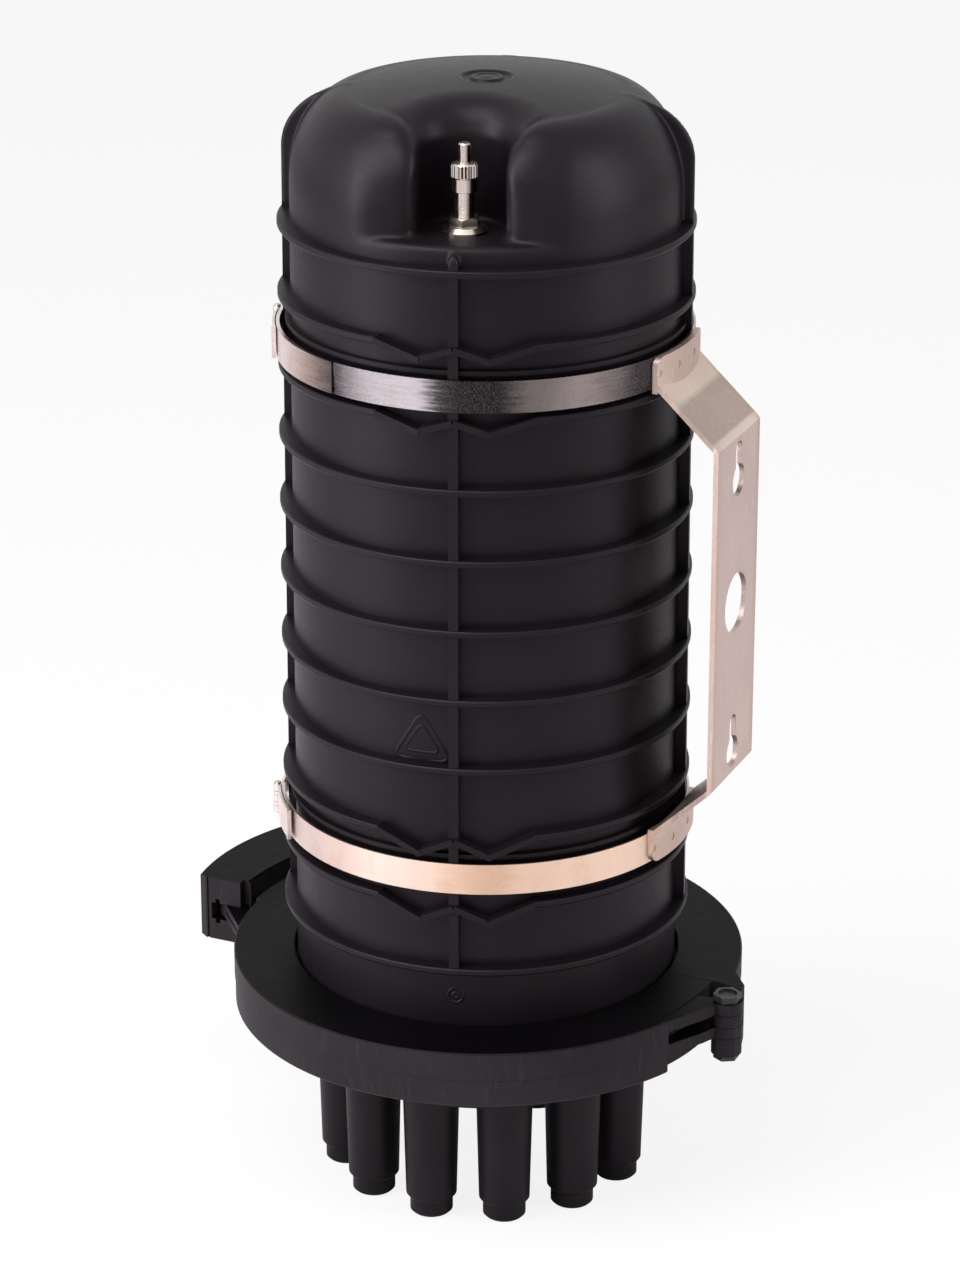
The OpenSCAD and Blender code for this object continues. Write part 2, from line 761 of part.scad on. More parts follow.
module clasp_lever_at_front(z) {
    r = band_out(z) + doubler_t + lever_clear;
    clear_az = arc_az(eye_r + free_gap, z);
    span = arc_az(clasp_len, z);
    difference() {
        union() {
            sweep_az(clear_az, span)
                translate([r, z - band_w / 2]) square([lever_t, band_w]);
            sweep_az(span - 0.8, span)
                translate([r, z - band_w / 2]) square([lever_t + 0.6, band_w]);
            translate([0, 0, z]) linear_extrude(band_w - 2 * knuckle_half - slide_gap, center = true) {
                translate(clasp_p(z)) circle(r = eye_r, $fn = 32);
                translate([0, -r - lever_t]) square([eye_r + 1.5, lever_t]);
            }
        }
        translate([0, 0, z]) linear_extrude(2 * (link_eye + slide_gap), center = true)
            translate(clasp_p(z)) circle(r = eye_r + free_gap - 0.1, $fn = 32);
        translate(concat(clasp_p(z), z - band_w)) cylinder(h = 2 * band_w, r = clasp_pin_r + pin_gap);
    }
}

module clasp_pin_at_front(z) {
    translate(concat(clasp_p(z), z - band_w / 2 - 0.6)) cylinder(h = band_w + 1.2, r = clasp_pin_r, $fn = 32);
}

// The link turns on the pin and loops over the hook
module clasp_link_at_front(z) {
    gap_az = arc_az(clasp_gap, z);
    r = band_out(z) + 0.25;
    half = 3.6;
    difference() {
        union() {
            sweep_az(-gap_az - arc_az(4, z), -arc_az(eye_r + free_gap, z))
                translate([r, z - half]) square([lever_t, 2 * half]);
            translate([0, 0, z]) linear_extrude(2 * link_eye, center = true) {
                translate(clasp_p(z)) circle(r = eye_r, $fn = 32);
                translate([-eye_r - 1.5, -r - lever_t]) square([eye_r + 1.5, lever_t]);
            }
        }
        to_az(-gap_az) translate([-2 * hook_t - slide_gap, -r - 3, z - half + 1])
            cube([2 * hook_t, 6, 2 * half - 2]);
        translate(concat(clasp_p(z), z - band_w)) cylinder(h = 2 * band_w, r = clasp_pin_r + pin_gap);
    }
}

upper_doubler = 55.5;
lower_doubler = 14;
steel = [0.72, 0.70, 0.67];

module upper_band() {
    color(steel) to_az(upper_clasp_az) band_at_front(upper_band_z, upper_doubler);
}

module upper_clasp_lever() {
    color(steel) to_az(upper_clasp_az) clasp_lever_at_front(upper_band_z);
}

module upper_clasp_pin() {
    color(steel) to_az(upper_clasp_az) clasp_pin_at_front(upper_band_z);
}

module upper_clasp_link() {
    color(steel) to_az(upper_clasp_az) clasp_link_at_front(upper_band_z);
}

module lower_band() {
    color(steel) to_az(lower_clasp_az) band_at_front(lower_band_z, lower_doubler);
}

module lower_clasp_lever() {
    color(steel) to_az(lower_clasp_az) clasp_lever_at_front(lower_band_z);
}

module lower_clasp_pin() {
    color(steel) to_az(lower_clasp_az) clasp_pin_at_front(lower_band_z);
}

module lower_clasp_link() {
    color(steel) to_az(lower_clasp_az) clasp_link_at_front(lower_band_z);
}

// ---------------------------------------------------------------- wall bracket

tab_h = 14.2;
tab_corner = 4;
weld_az = [-15.4, -5.6, 6];
weld_r = 1.5;
slope_h = 20;
keyhole_z = bracket_z - 4.5;
bracket_hole_z = bracket_z + 1.5;

// Side view of the sheet: mounting face with a sloping arm at each end
module bracket_outline() {
    top = bracket_face_h / 2;
    d0 = bracket_d;
    d1 = bracket_d - bracket_t;
    bend = bracket_t * 0.45;
    arm_in = tube_r - 4;
    slope = slope_h / (bracket_d - band_out(upper_band_z) - bracket_t);
    reach = d0 - arm_in;
    for (side = [-1, 1])
        polygon([[d1, 0], [d0, 0], [d0, side * (top - bend)], [d0 - bend, side * (top + bend * 0.4)],
                 [d0 - reach, side * (top + reach * slope)],
                 [d0 - reach, side * (top + reach * slope - bracket_t * 1.35)],
                 [d1, side * (top - bracket_t * 0.6)]]);
}

module bracket_tab(z, side) {
    r = band_out(z) + seat_gap;
    z0 = bracket_z + side * (bracket_face_h / 2 + slope_h - 1);
    lo = side > 0 ? z0 : z0 - tab_h;
    at_height(lo, lo + tab_h) intersection() {
        difference() {
            circle(r = r + bracket_t);
            circle(r = r);
        }
        translate([-bracket_w / 2, -bracket_d]) square([bracket_w, bracket_d / 2]);
    }
}

// Rounds the free corners of a tab
module tab_room(side) {
    z0 = bracket_z + side * (bracket_face_h / 2 + slope_h - 1);
    lo = side > 0 ? z0 - bracket_w : z0 - tab_h;
    translate([0, 0, lo]) rotate([90, 0, 0])
        rounded_plate(bracket_w + 2 * eps, tab_h + bracket_w, bracket_d + 1, tab_corner);
}

module wall_bracket() {
    color([0.75, 0.72, 0.69]) to_az(parting_az) difference() {
        union() {
            difference() {
                translate([bracket_w / 2, 0, bracket_z]) rotate([90, 0, -90])
                    linear_extrude(bracket_w) bracket_outline();
                translate([0, 0, bracket_z]) cylinder(h = bracket_face_h, r = band_out(upper_band_z) + seat_gap);
                translate([0, 0, bracket_z - bracket_face_h])
                    cylinder(h = bracket_face_h, r = band_out(lower_band_z) + seat_gap);
            }
            intersection() {
                bracket_tab(upper_band_z, 1);
                tab_room(1);
            }
            intersection() {
                bracket_tab(lower_band_z, -1);
                tab_room(-1);
            }
        }
        translate([0, -bracket_d + bracket_t + 1, bracket_hole_z]) rotate([90, 0, 0])
            cylinder(h = bracket_t + 2, r = bracket_hole_r);
        for (side = [-1, 1]) {
            translate([0, -bracket_d + bracket_t + 1, keyhole_z + side * keyhole_pitch / 2]) rotate([90, 0, 0]) {
                cylinder(h = bracket_t + 2, r = keyhole_r);
                translate([0, keyhole_rise, 0]) cylinder(h = bracket_t + 2, r = keyhole_slot / 2);
                translate([-keyhole_slot / 2, 0, 0]) cube([keyhole_slot, keyhole_rise, bracket_t + 2]);
            }
            for (az = weld_az) to_az(az)
                translate([0, -band_out(side > 0 ? upper_band_z : lower_band_z) - bracket_t + 0.3,
                           side > 0 ? upper_band_z : lower_band_z])
                    rotate([90, 0, 0]) cylinder(h = 3, r = weld_r, $fn = 24);
        }
    }
}

// ---------------------------------------------------------------- valve

gasket_t = 1.4;
stem_head_t = 2;
stem_base_z = floor_z - tube_wall - gasket_t - stem_head_t;
stem_top_z = floor_z + stem_h;
core_r = 1.9;
core_pin_r = 0.6;
cap_bore_r = stem_r + 0.15;
cap_z0 = stem_top_z - 9;
cap_seal_t = 1.2;
cap_roof_z = stem_top_z + cap_seal_t + 2 * seat_gap;

module valve_at() {
    turned() translate([0, -valve_y, 0]) children();
}

module valve_stem() {
    color([0.80, 0.76, 0.68]) valve_at() difference() {
        union() {
            translate([0, 0, stem_base_z]) cylinder(h = stem_head_t, r = washer_r);
            translate([0, 0, stem_base_z]) cylinder(h = stem_top_z - stem_base_z, r = stem_r);
        }
        translate([0, 0, stem_base_z - 1]) cylinder(h = stem_top_z - stem_base_z + 2, r = core_r + pin_gap);
    }
}

module valve_gasket() {
    color([0.12, 0.12, 0.12]) valve_at() translate([0, 0, floor_z - tube_wall - gasket_t + seat_gap]) difference() {
        cylinder(h = gasket_t - 2 * seat_gap, r = washer_r - 0.6);
        translate([0, 0, -1]) cylinder(h = gasket_t + 2, r = stem_r + seat_gap);
    }
}

module valve_washer() {
    color([0.80, 0.76, 0.68]) valve_at() translate([0, 0, floor_z + seat_gap]) difference() {
        rotate_extrude()
            polygon([[0, 0], [washer_r, 0], [washer_r, 0.9], [washer_r - 0.6, 1.4],
                     [nut_af / 2 + 1.6, washer_t], [0, washer_t]]);
        translate([0, 0, -1]) cylinder(h = washer_t + 2, r = stem_r + seat_gap);
    }
}

module valve_nut() {
    color([0.80, 0.76, 0.68]) valve_at() translate([0, 0, floor_z + washer_t + 2 * seat_gap]) difference() {
        intersection() {
            hex_prism(nut_af, nut_h);
            rotate_extrude()
                polygon([[0, 0], [nut_af / 2 + 0.9, 0], [nut_af / 2 + 0.9, nut_h - 0.7],
                         [nut_af / 2, nut_h], [0, nut_h]]);
        }
        translate([0, 0, -1]) cylinder(h = nut_h + 2, r = stem_r + seat_gap);
    }
}

module valve_core() {
    color([0.75, 0.62, 0.35]) valve_at() difference() {
        translate([0, 0, stem_top_z - 16]) cylinder(h = 13, r = core_r);
        translate([0, 0, stem_top_z - 17]) cylinder(h = 15, r = core_pin_r + pin_gap);
    }
}

module valve_pin() {
    color([0.80, 0.72, 0.45]) valve_at() {
        translate([0, 0, stem_top_z - 17.5]) cylinder(h = 17, r = core_pin_r);
        translate([0, 0, stem_top_z - 18.5]) cylinder(h = 2.5 - seat_gap, r = 1.5);
    }
}

module valve_cap_seal() {
    color([0.12, 0.12, 0.12]) valve_at() translate([0, 0, stem_top_z + seat_gap])
        cylinder(h = cap_seal_t, r = stem_r - 0.1);
}

module valve_cap() {
    body_h = 4.9;
    ring_h = 5.6;
    tip_h = 7.4;
    color([0.84, 0.80, 0.72]) valve_at() difference() {
        translate([0, 0, cap_z0]) rotate_extrude()
            polygon([[0, 0], [cap_r - 0.4, 0], [cap_r - 0.4, body_h], [cap_r, body_h + 0.5],
                     [cap_r, body_h + ring_h - 0.6], [cap_r - 0.6, body_h + ring_h],
                     [2.3, body_h + ring_h + 0.3], [2.3, body_h + ring_h + tip_h - 0.4],
                     [1.9, body_h + ring_h + tip_h], [0, body_h + ring_h + tip_h]]);
        translate([0, 0, cap_z0 - 1]) cylinder(h = cap_roof_z - cap_z0 + 1, r = cap_bore_r);
        translate([-4, -0.6, cap_z0 + body_h + ring_h + tip_h - 4]) cube([8, 1.2, 5]);
        for (i = [0 : knurl_count - 1])
            rotate([0, 0, i * 360 / knurl_count])
                translate([cap_r, 0, cap_z0 + body_h + 0.6]) rotate([0, 0, 45])
                    translate([-0.3, -0.3, 0]) cube([0.6, 0.6, ring_h + 1]);
    }
}

// ---------------------------------------------------------------- splice trays

frame_y = 6;
frame_w = 88;
frame_z0 = base_floor_z + boss_h + seat_gap;
frame_z1 = frame_z0 + frame_h;
tray_z0 = frame_z0 + 86;
tray_y0 = frame_y - 1.2;
pivot_r = 1.4;
pivot_z = tray_z0 - 4;
cheek_t = 2.4;

function tray_y(i) = tray_y0 - i * tray_pitch;

module rounded_plate(w, l, t, r) {
    linear_extrude(t) {
        translate([-w / 2 + r, 0]) square([w - 2 * r, l]);
        translate([-w / 2, r]) square([w, l - 2 * r]);
        for (x = [-1, 1])
            for (y = [r, l - r])
                translate([x * (w / 2 - r), y]) circle(r = r, $fn = 32);
    }
}

// Stands a flat plate up: its width along X, its length along Z, its front face toward -Y
module stand_up(y, z) {
    translate([0, y, z]) rotate([90, 0, 0]) children();
}

module tray_frame() {
    color([0.62, 0.62, 0.60]) turned() difference() {
        union() {
            stand_up(frame_y + frame_t, frame_z0) rounded_plate(frame_w, frame_h, frame_t, 4);
            for (side = [-1, 1])
                translate([side * (frame_w / 2 - frame_t / 2) - frame_t / 2, frame_y, frame_z0])
                    cube([frame_t, 9, frame_h - 8]);
            translate([-frame_w / 2, frame_y, frame_z0]) cube([frame_w, 16, frame_t]);
        }
        for (side = [-1, 1])
            translate([side * boss_x, boss_y, frame_z0 - 1]) cylinder(h = frame_t + 2, r = screw_r + 0.3);
        for (z = [40, 120, 200, 250])
            translate([0, frame_y + frame_t + 1, frame_z0 + z]) rotate([90, 0, 0]) cylinder(h = frame_t + 2, r = 12);
    }
}

module tray_hinge() {
    depth = tray_count * tray_pitch + 3;
    x = tray_w / 2 - 4;
    color([0.85, 0.85, 0.83]) turned() difference() {
        union() {
            for (side = [-1, 1])
                translate([side * x - cheek_t / 2, frame_y - depth, pivot_z - 5]) cube([cheek_t, depth - seat_gap, 7]);
            translate([-x, frame_y - 2 - seat_gap, pivot_z - 5]) cube([2 * x, 2, 2]);
        }
        for (i = [0 : tray_count - 1])
            translate([-tray_w, tray_y(i) - tray_h / 2, pivot_z]) rotate([0, 90, 0])
                cylinder(h = 2 * tray_w, r = pivot_r + pin_gap, $fn = 32);
    }
}

module tray_pivots() {
    color([0.7, 0.7, 0.7]) turned() for (i = [0 : tray_count - 1])
        translate([-tray_w / 2 + 1, tray_y(i) - tray_h / 2, pivot_z]) rotate([0, 90, 0])
            cylinder(h = tray_w - 2, r = pivot_r, $fn = 32);
}

module splice_tray(i) {
    y = tray_y(i);
    slots = 6;
    color([0.92, 0.92, 0.90]) turned() difference() {
        union() {
            difference() {
                stand_up(y, tray_z0) rounded_plate(tray_w, tray_l, tray_h, 10);
                stand_up(y - tray_t, tray_z0 + tray_t)
                    rounded_plate(tray_w - 2 * tray_t, tray_l - 2 * tray_t, tray_h, 9);
            }
            for (side = [-1, 1]) {
                translate([side * 26, y - tray_t, tray_z0 + 34]) rotate([90, 0, 0])
                    cylinder(h = tray_h - tray_t - 1.5, r = 9, $fn = 48);
                translate([side * 26, y - tray_t, tray_z0 + tray_l - 34]) rotate([90, 0, 0])
                    cylinder(h = tray_h - tray_t - 1.5, r = 9, $fn = 48);
                translate([side * 20 - 5, y - tray_h / 2 - pivot_r - 1, pivot_z - pivot_r - 1])
                    cube([10, 2 * pivot_r + 2, tray_z0 - pivot_z + pivot_r + 1.5]);
            }
        }
        translate([-tray_w, y - tray_h / 2, pivot_z]) rotate([0, 90, 0])
            cylinder(h = 2 * tray_w, r = pivot_r + pin_gap, $fn = 32);
        for (side = [-1, 1])
            translate([side * 26, y + 1, tray_z0 + 34]) rotate([90, 0, 0]) {
                cylinder(h = tray_h + 2, r = 7, $fn = 48);
                translate([0, tray_l - 68, 0]) cylinder(h = tray_h + 2, r = 7, $fn = 48);
            }
    }
}

module splice_holders() {
    color([0.30, 0.30, 0.32]) turned() for (i = [0 : tray_count - 1])
        difference() {
            translate([-16, tray_y(i) - tray_h + 1.4, tray_z0 + tray_l / 2 - 22])
                cube([32, tray_h - tray_t - 1.4 - seat_gap, 44]);
            for (k = [0 : 5])
                translate([-13.2 + k * 5.3, tray_y(i) - tray_h, tray_z0 + tray_l / 2 - 23])
                    cube([2.6, tray_h - tray_t - 1.6, 46]);
        }
}

module tray_cover() {
    y = tray_y(tray_count - 1) - tray_h - seat_gap;
    color([0.80, 0.85, 0.88]) turned() stand_up(y, tray_z0) rounded_plate(tray_w, tray_l, 1.5, 10);
}

module strap_plan(inset) {
    y0 = tray_y(tray_count - 1) - tray_h - 1.5 - 1.3;
    y1 = frame_y + 9 + 1.2;
    translate([-tray_w / 2 - 1.3 + inset, y0 + inset])
        square([tray_w + 2.6 - 2 * inset, y1 - y0 - 2 * inset]);
}

module tray_strap() {
    color([0.15, 0.15, 0.16]) turned() at_height(tray_z0 + tray_l - 40, tray_z0 + tray_l - 22) difference() {
        strap_plan(0);
        strap_plan(1.1);
    }
}

module storage_basket() {
    w = frame_w - 2 * frame_t - 1;
    z0 = frame_z0 + 20;
    l = 190;
    color([0.88, 0.88, 0.86]) turned() translate([0, frame_y + frame_t + seat_gap, z0]) difference() {
        translate([-w / 2, 0, 0]) cube([w, 34, l]);
        translate([-w / 2 + 1.6, 1.6, 1.6]) cube([w - 3.2, 34, l - 3.2]);
        for (side = [-1, 1])
            translate([side * w / 2, 22, l / 2]) cube([6, 30, l - 60], center = true);
        translate([0, 26, l - 4]) cube([w - 30, 20, 12], center = true);
        translate([0, 26, 2]) cube([w - 30, 20, 12], center = true);
    }
}

clamp_foot = [10, 8, 3];

function strength_p(i) = at(port_az(i), port_circle_r - 18);

module strength_clamps() {
    color([0.70, 0.70, 0.70]) turned() for (i = [0 : port_count - 1])
        translate(concat(strength_p(i), base_floor_z + seat_gap)) rotate([0, 0, port_az(i)]) difference() {
            union() {
                translate([-clamp_foot[0] / 2, -clamp_foot[1] / 2, 0]) cube(clamp_foot);
                translate([-clamp_foot[0] / 2, -clamp_foot[1] / 2, 0]) cube([clamp_foot[0], 2, 16]);
            }
            translate([0, 1, -1]) cylinder(h = 6, r = screw_r + 0.2, $fn = 32);
        }
}

module strength_clamp_screws() {
    color([0.78, 0.78, 0.78]) turned() for (i = [0 : port_count - 1])
        translate(concat(strength_p(i), base_floor_z)) rotate([0, 0, port_az(i)]) translate([0, 1, 0]) {
            translate([0, 0, 2 * seat_gap]) cylinder(h = clamp_foot[2] + 1, r = screw_r, $fn = 32);
            translate([0, 0, clamp_foot[2] + 2 * seat_gap]) cylinder(h = 2, r = 2.9, $fn = 32);
        }
}

module frame_screws() {
    color([0.78, 0.78, 0.78]) turned() for (side = [-1, 1])
        translate([side * boss_x, boss_y, frame_z0 + frame_t + seat_gap]) {
            translate([0, 0, -8]) cylinder(h = 8 + eps, r = screw_r - seat_gap, $fn = 32);
            cylinder(h = 2.2, r = 3, $fn = 32);
        }
}

// ---------------------------------------------------------------- the pieces

dome();
dome_seal();
base();
clamp_front_half();
clamp_rear_half();
hinge_bolt();
hinge_nut();
latch_link();
latch_link_pin();
latch_lever();
latch_lever_pin();
upper_band();
upper_clasp_lever();
upper_clasp_pin();
upper_clasp_link();
lower_band();
lower_clasp_lever();
lower_clasp_pin();
lower_clasp_link();
wall_bracket();
valve_stem();
valve_gasket();
valve_washer();
valve_nut();
valve_core();
valve_pin();
valve_cap_seal();
valve_cap();
tray_frame();
tray_hinge();
tray_pivots();
splice_tray(0);  // splice_tray_1
splice_tray(1);  // splice_tray_2
splice_tray(2);  // splice_tray_3
splice_tray(3);  // splice_tray_4
tray_cover();
splice_holders();
tray_strap();
storage_basket();
strength_clamps();
strength_clamp_screws();
frame_screws();
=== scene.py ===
"""Looks of the dome splice closure: camera, materials, the dome's moulded top and marks, stage and light.

Azimuths are counted round the closure's upright axis, from the front (-Y) toward +X.
"""
import math

import bmesh
import bpy
import numpy as np
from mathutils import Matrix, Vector


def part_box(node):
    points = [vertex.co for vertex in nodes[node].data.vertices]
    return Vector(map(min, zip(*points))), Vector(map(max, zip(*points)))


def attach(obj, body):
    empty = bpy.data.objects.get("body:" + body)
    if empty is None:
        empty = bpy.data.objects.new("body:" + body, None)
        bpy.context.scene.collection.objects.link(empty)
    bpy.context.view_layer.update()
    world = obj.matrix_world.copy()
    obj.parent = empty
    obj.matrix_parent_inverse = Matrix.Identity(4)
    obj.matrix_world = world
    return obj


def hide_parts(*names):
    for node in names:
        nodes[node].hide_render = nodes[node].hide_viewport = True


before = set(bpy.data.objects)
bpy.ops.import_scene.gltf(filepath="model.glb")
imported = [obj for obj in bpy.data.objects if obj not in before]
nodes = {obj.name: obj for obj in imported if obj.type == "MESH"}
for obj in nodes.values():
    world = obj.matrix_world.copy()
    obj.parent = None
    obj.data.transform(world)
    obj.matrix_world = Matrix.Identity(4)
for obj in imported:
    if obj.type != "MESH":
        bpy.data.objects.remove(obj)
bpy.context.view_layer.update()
scene = bpy.context.scene
MM = 0.001


def around(azimuth, radius, height):
    """Point at an azimuth in radians, a distance from the axis and a height."""
    return Vector((radius * math.sin(azimuth), -radius * math.cos(azimuth), height))


def aim(thing, direction):
    """Turn a camera or lamp to look along a direction."""
    thing.rotation_mode = "QUATERNION"
    thing.rotation_quaternion = direction.to_track_quat("-Z", "Y")


# ------------------------------------------------------------------ camera
CAMERA_AZIMUTH = math.radians(23.0)
CAMERA_DISTANCE = 1.547
CAMERA_HEIGHT = 0.8319
CAMERA_YAW = math.radians(0.094)
CAMERA_PITCH = math.radians(21.42)
CAMERA_LENS = 118.1


def build_camera():
    camera = bpy.data.objects.new("camera", bpy.data.cameras.new("camera"))
    scene.collection.objects.link(camera)
    camera.location = around(CAMERA_AZIMUTH, CAMERA_DISTANCE, CAMERA_HEIGHT)
    aim(camera, -around(CAMERA_AZIMUTH + CAMERA_YAW, math.cos(CAMERA_PITCH), math.sin(CAMERA_PITCH)))
    camera.data.lens = CAMERA_LENS
    camera.data.sensor_width = 36.0
    camera.data.clip_start = 0.05
    camera.data.clip_end = 50.0
    camera.data.dof.use_dof = False
    scene.camera = camera


build_camera()
scene.view_settings.view_transform = "Standard"

# ------------------------------------------------------------------ node helpers
TURNS_PER_RADIAN = 0.15915


def scaled(color, factor, lift=0.0):
    """A colour made darker or lighter."""
    return tuple(c * factor + lift for c in color)


def by_azimuth(stops):
    """Ramp stops over one turn, from stops that give the azimuth in degrees."""
    return [(0.5 + azimuth / 360, value) for azimuth, value in stops]


class Tree:
    """Short calls that add and link the nodes of a material or a world."""

    def __init__(self, owner, output_kind):
        owner.use_nodes = True
        self.tree = owner.node_tree
        self.tree.nodes.clear()
        self.out = self.node(output_kind)

    def node(self, kind, **settings):
        node = self.tree.nodes.new(kind)
        for name, value in settings.items():
            setattr(node, name, value)
        return node

    def link(self, source, socket):
        self.tree.links.new(source, socket)

    def put(self, socket, value):
        """Link a socket to another one, or set its value."""
        if isinstance(value, bpy.types.NodeSocket):
            self.link(value, socket)
        else:
            socket.default_value = value

    def math(self, operation, *values):
        node = self.node("ShaderNodeMath", operation=operation)
        for socket, value in zip(node.inputs, values):
            self.put(socket, value)
        return node.outputs[0]

    def grey(self, kind, level, strength=None):
        """A plain shader of one grey level, where 1 is white."""
        node = self.node(kind)
        node.inputs[0].default_value = (level, level, level, 1)
        if strength is not None:
            node.inputs[1].default_value = strength
        return node.outputs[0]

    def finish_mixed(self, share, first, second):
        """Send a mix of two shaders to the output."""
        node = self.node("ShaderNodeMixShader")
        for socket, source in zip(node.inputs, (share, first, second)):
            self.link(source, socket)
        self.link(node.outputs[0], self.out.inputs[0])


class Material(Tree):
    """A principled material whose textures run in the object's own metres."""

    INPUTS = {"color": "Base Color", "rough": "Roughness", "metal": "Metallic", "spec": "Specular IOR Level",
              "aniso": "Anisotropic", "sheen": "Sheen Weight"}

    def __init__(self, name):
        self.mat = bpy.data.materials.new(name)
        super().__init__(self.mat, "ShaderNodeOutputMaterial")
        self.bsdf = self.node("ShaderNodeBsdfPrincipled")
        self.link(self.bsdf.outputs[0], self.out.inputs[0])
        self.coord = self.node("ShaderNodeTexCoord").outputs["Object"]

    def set(self, **values):
        for name, value in values.items():
            if name == "color" and not isinstance(value, bpy.types.NodeSocket):
                value = (*value, 1)
            self.put(self.bsdf.inputs[self.INPUTS[name]], value)

    def times(self, a, b):
        return self.math("MULTIPLY", a, b)

    def map_range(self, value, start, end, at_start, at_end):
        node = self.node("ShaderNodeMapRange")
        for socket, x in zip(node.inputs, (value, start, end, at_start, at_end)):
            self.put(socket, x)
        return node.outputs[0]

    def fade(self, value, start, end):
        """0 up to the start and 1 from the end on."""
        return self.map_range(value, start, end, 0.0, 1.0)

    def ramp(self, factor, stops):
        """Colour ramp with a stop for each (place, grey or colour)."""
        node = self.node("ShaderNodeValToRGB")
        elements = node.color_ramp.elements
        while len(elements) < len(stops):
            elements.new(0.5)
        for element, (place, value) in zip(elements, stops):
            element.position = place
            element.color = (value, value, value, 1) if isinstance(value, (int, float)) else (*value, 1)
        self.link(factor, node.inputs[0])
        return node.outputs[0]

    def threshold(self, factor, low, high):
        """Ramp from black at the low value to white at the high one."""
        return self.ramp(factor, [(low, 0.0), (high, 1.0)])

    def mix(self, factor, a, b, blend="MIX"):
        node = self.node("ShaderNodeMix", data_type="RGBA", blend_type=blend)
        self.put(node.inputs[0], factor)
        for socket, color in ((node.inputs[6], a), (node.inputs[7], b)):
            self.put(socket, color if isinstance(color, bpy.types.NodeSocket) else (*color, 1))
        return node.outputs[2]

    def noise(self, scale, detail, rough, vec=None, distortion=0.0):
        node = self.node("ShaderNodeTexNoise")
        self.link(vec if vec is not None else self.coord, node.inputs["Vector"])
        node.inputs["Scale"].default_value = scale
        node.inputs["Detail"].default_value = detail
        node.inputs["Roughness"].default_value = rough
        node.inputs["Distortion"].default_value = distortion
        return node.outputs["Fac"]

    def mapped(self, scale, rotation=(0, 0, 0)):
        """Texture vector stretched by its scale and turned."""
        node = self.node("ShaderNodeMapping")
        self.link(self.coord, node.inputs[0])
        node.inputs["Scale"].default_value = scale
        node.inputs["Rotation"].default_value = rotation
        return node.outputs[0]

    def split(self, vector):
        """The x, y and z of a vector."""
        node = self.node("ShaderNodeSeparateXYZ")
        self.link(vector, node.inputs[0])
        return node.outputs

    def normal(self):
        """The x, y and z of the surface's normal."""
        return self.split(self.node("ShaderNodeNewGeometry").outputs["Normal"])

    def azimuth(self, x, y):
        """Azimuth of a direction in radians."""
        return self.math("ARCTAN2", x, self.times(y, -1.0))

    def turns(self, azimuth):
        """Azimuth as a share of one turn, with the front at a half."""
        return self.math("MULTIPLY_ADD", azimuth, TURNS_PER_RADIAN, 0.5)

    def ring_vec(self, along, outward, upward):
        """Texture vector that runs round the axis, so that grain follows a band."""
        x, y, z = self.split(self.coord)
        radius = self.math("SQRT", self.math("ADD", self.times(x, x), self.times(y, y)))
        node = self.node("ShaderNodeCombineXYZ")
        self.link(self.times(self.azimuth(x, y), along), node.inputs[0])
        self.link(self.times(radius, outward), node.inputs[1])
        self.link(self.times(z, upward), node.inputs[2])
        return node.outputs[0]

    def bump(self, *layers):
        """Surface relief from layers of (height, strength, distance), coarse first."""
        under = None
        for height, strength, distance in layers:
            node = self.node("ShaderNodeBump")
            node.inputs["Strength"].default_value = strength
            node.inputs["Distance"].default_value = distance
            self.link(height, node.inputs["Height"])
            if under is not None:
                self.link(under, node.inputs["Normal"])
            under = node.outputs[0]
        self.link(under, self.bsdf.inputs["Normal"])


# ------------------------------------------------------------------ materials
DUST = (0.10, 0.095, 0.09)
STAIN = (0.74, 0.62, 0.50)
DULLED = (0.55, 0.55, 0.55)
BRIGHT_GRAIN = (0.8, 0.78, 0.76)
HEAT_BROWN = (0.46, 0.33, 0.24)
ARM_BROWN = (0.34, 0.265, 0.23)
FRESH_SCRATCH = (0.9, 0.88, 0.85)


def moulded_black(name, base, rough, streak=0.0, grain=0.10, spec=0.15, top=None):
    """Satin moulded plastic: eroded grain, flow lines, rubbed patches, dust; top is painted shade, a darker
    colour on what looks up.
    """
    m = Material(name)
    cloud = m.noise(14.0, detail=3.0, rough=0.55)
    fine = m.noise(2600.0, detail=2.0, rough=0.5)
    rubbed = m.noise(60.0, detail=6.0, rough=0.7, vec=m.ring_vec(along=1.2, outward=1.0, upward=9.0))
    speck = m.threshold(m.noise(900.0, detail=2.0, rough=0.5), 0.70, 0.78)
    color = m.mix(m.threshold(cloud, 0.3, 0.7), scaled(base, 0.82), scaled(base, 1.22, 0.001))
    color = m.mix(m.times(speck, 0.10), color, DUST)
    if streak:
        lines = m.ring_vec(along=2.2, outward=14.0, upward=3.0)
        flow = m.noise(22.0, detail=5.0, rough=0.7, vec=lines, distortion=0.6)
        color = m.mix(m.times(m.threshold(flow, 0.55, 0.78), streak), color, scaled(base, 1.9, 0.004))
    # painted shade: faces that look up get a darker colour, so the top reads darker than the sides
    if top:
        upward = m.normal()[2]
        color = m.mix(m.fade(upward, 0.4, 0.9), color, top)
    m.set(color=color, rough=m.map_range(rubbed, 0.3, 0.75, rough - 0.05, rough + 0.08), spec=spec)
    m.bump((cloud, 0.05, 0.002), (fine, grain, 0.0002))
    return m.mat


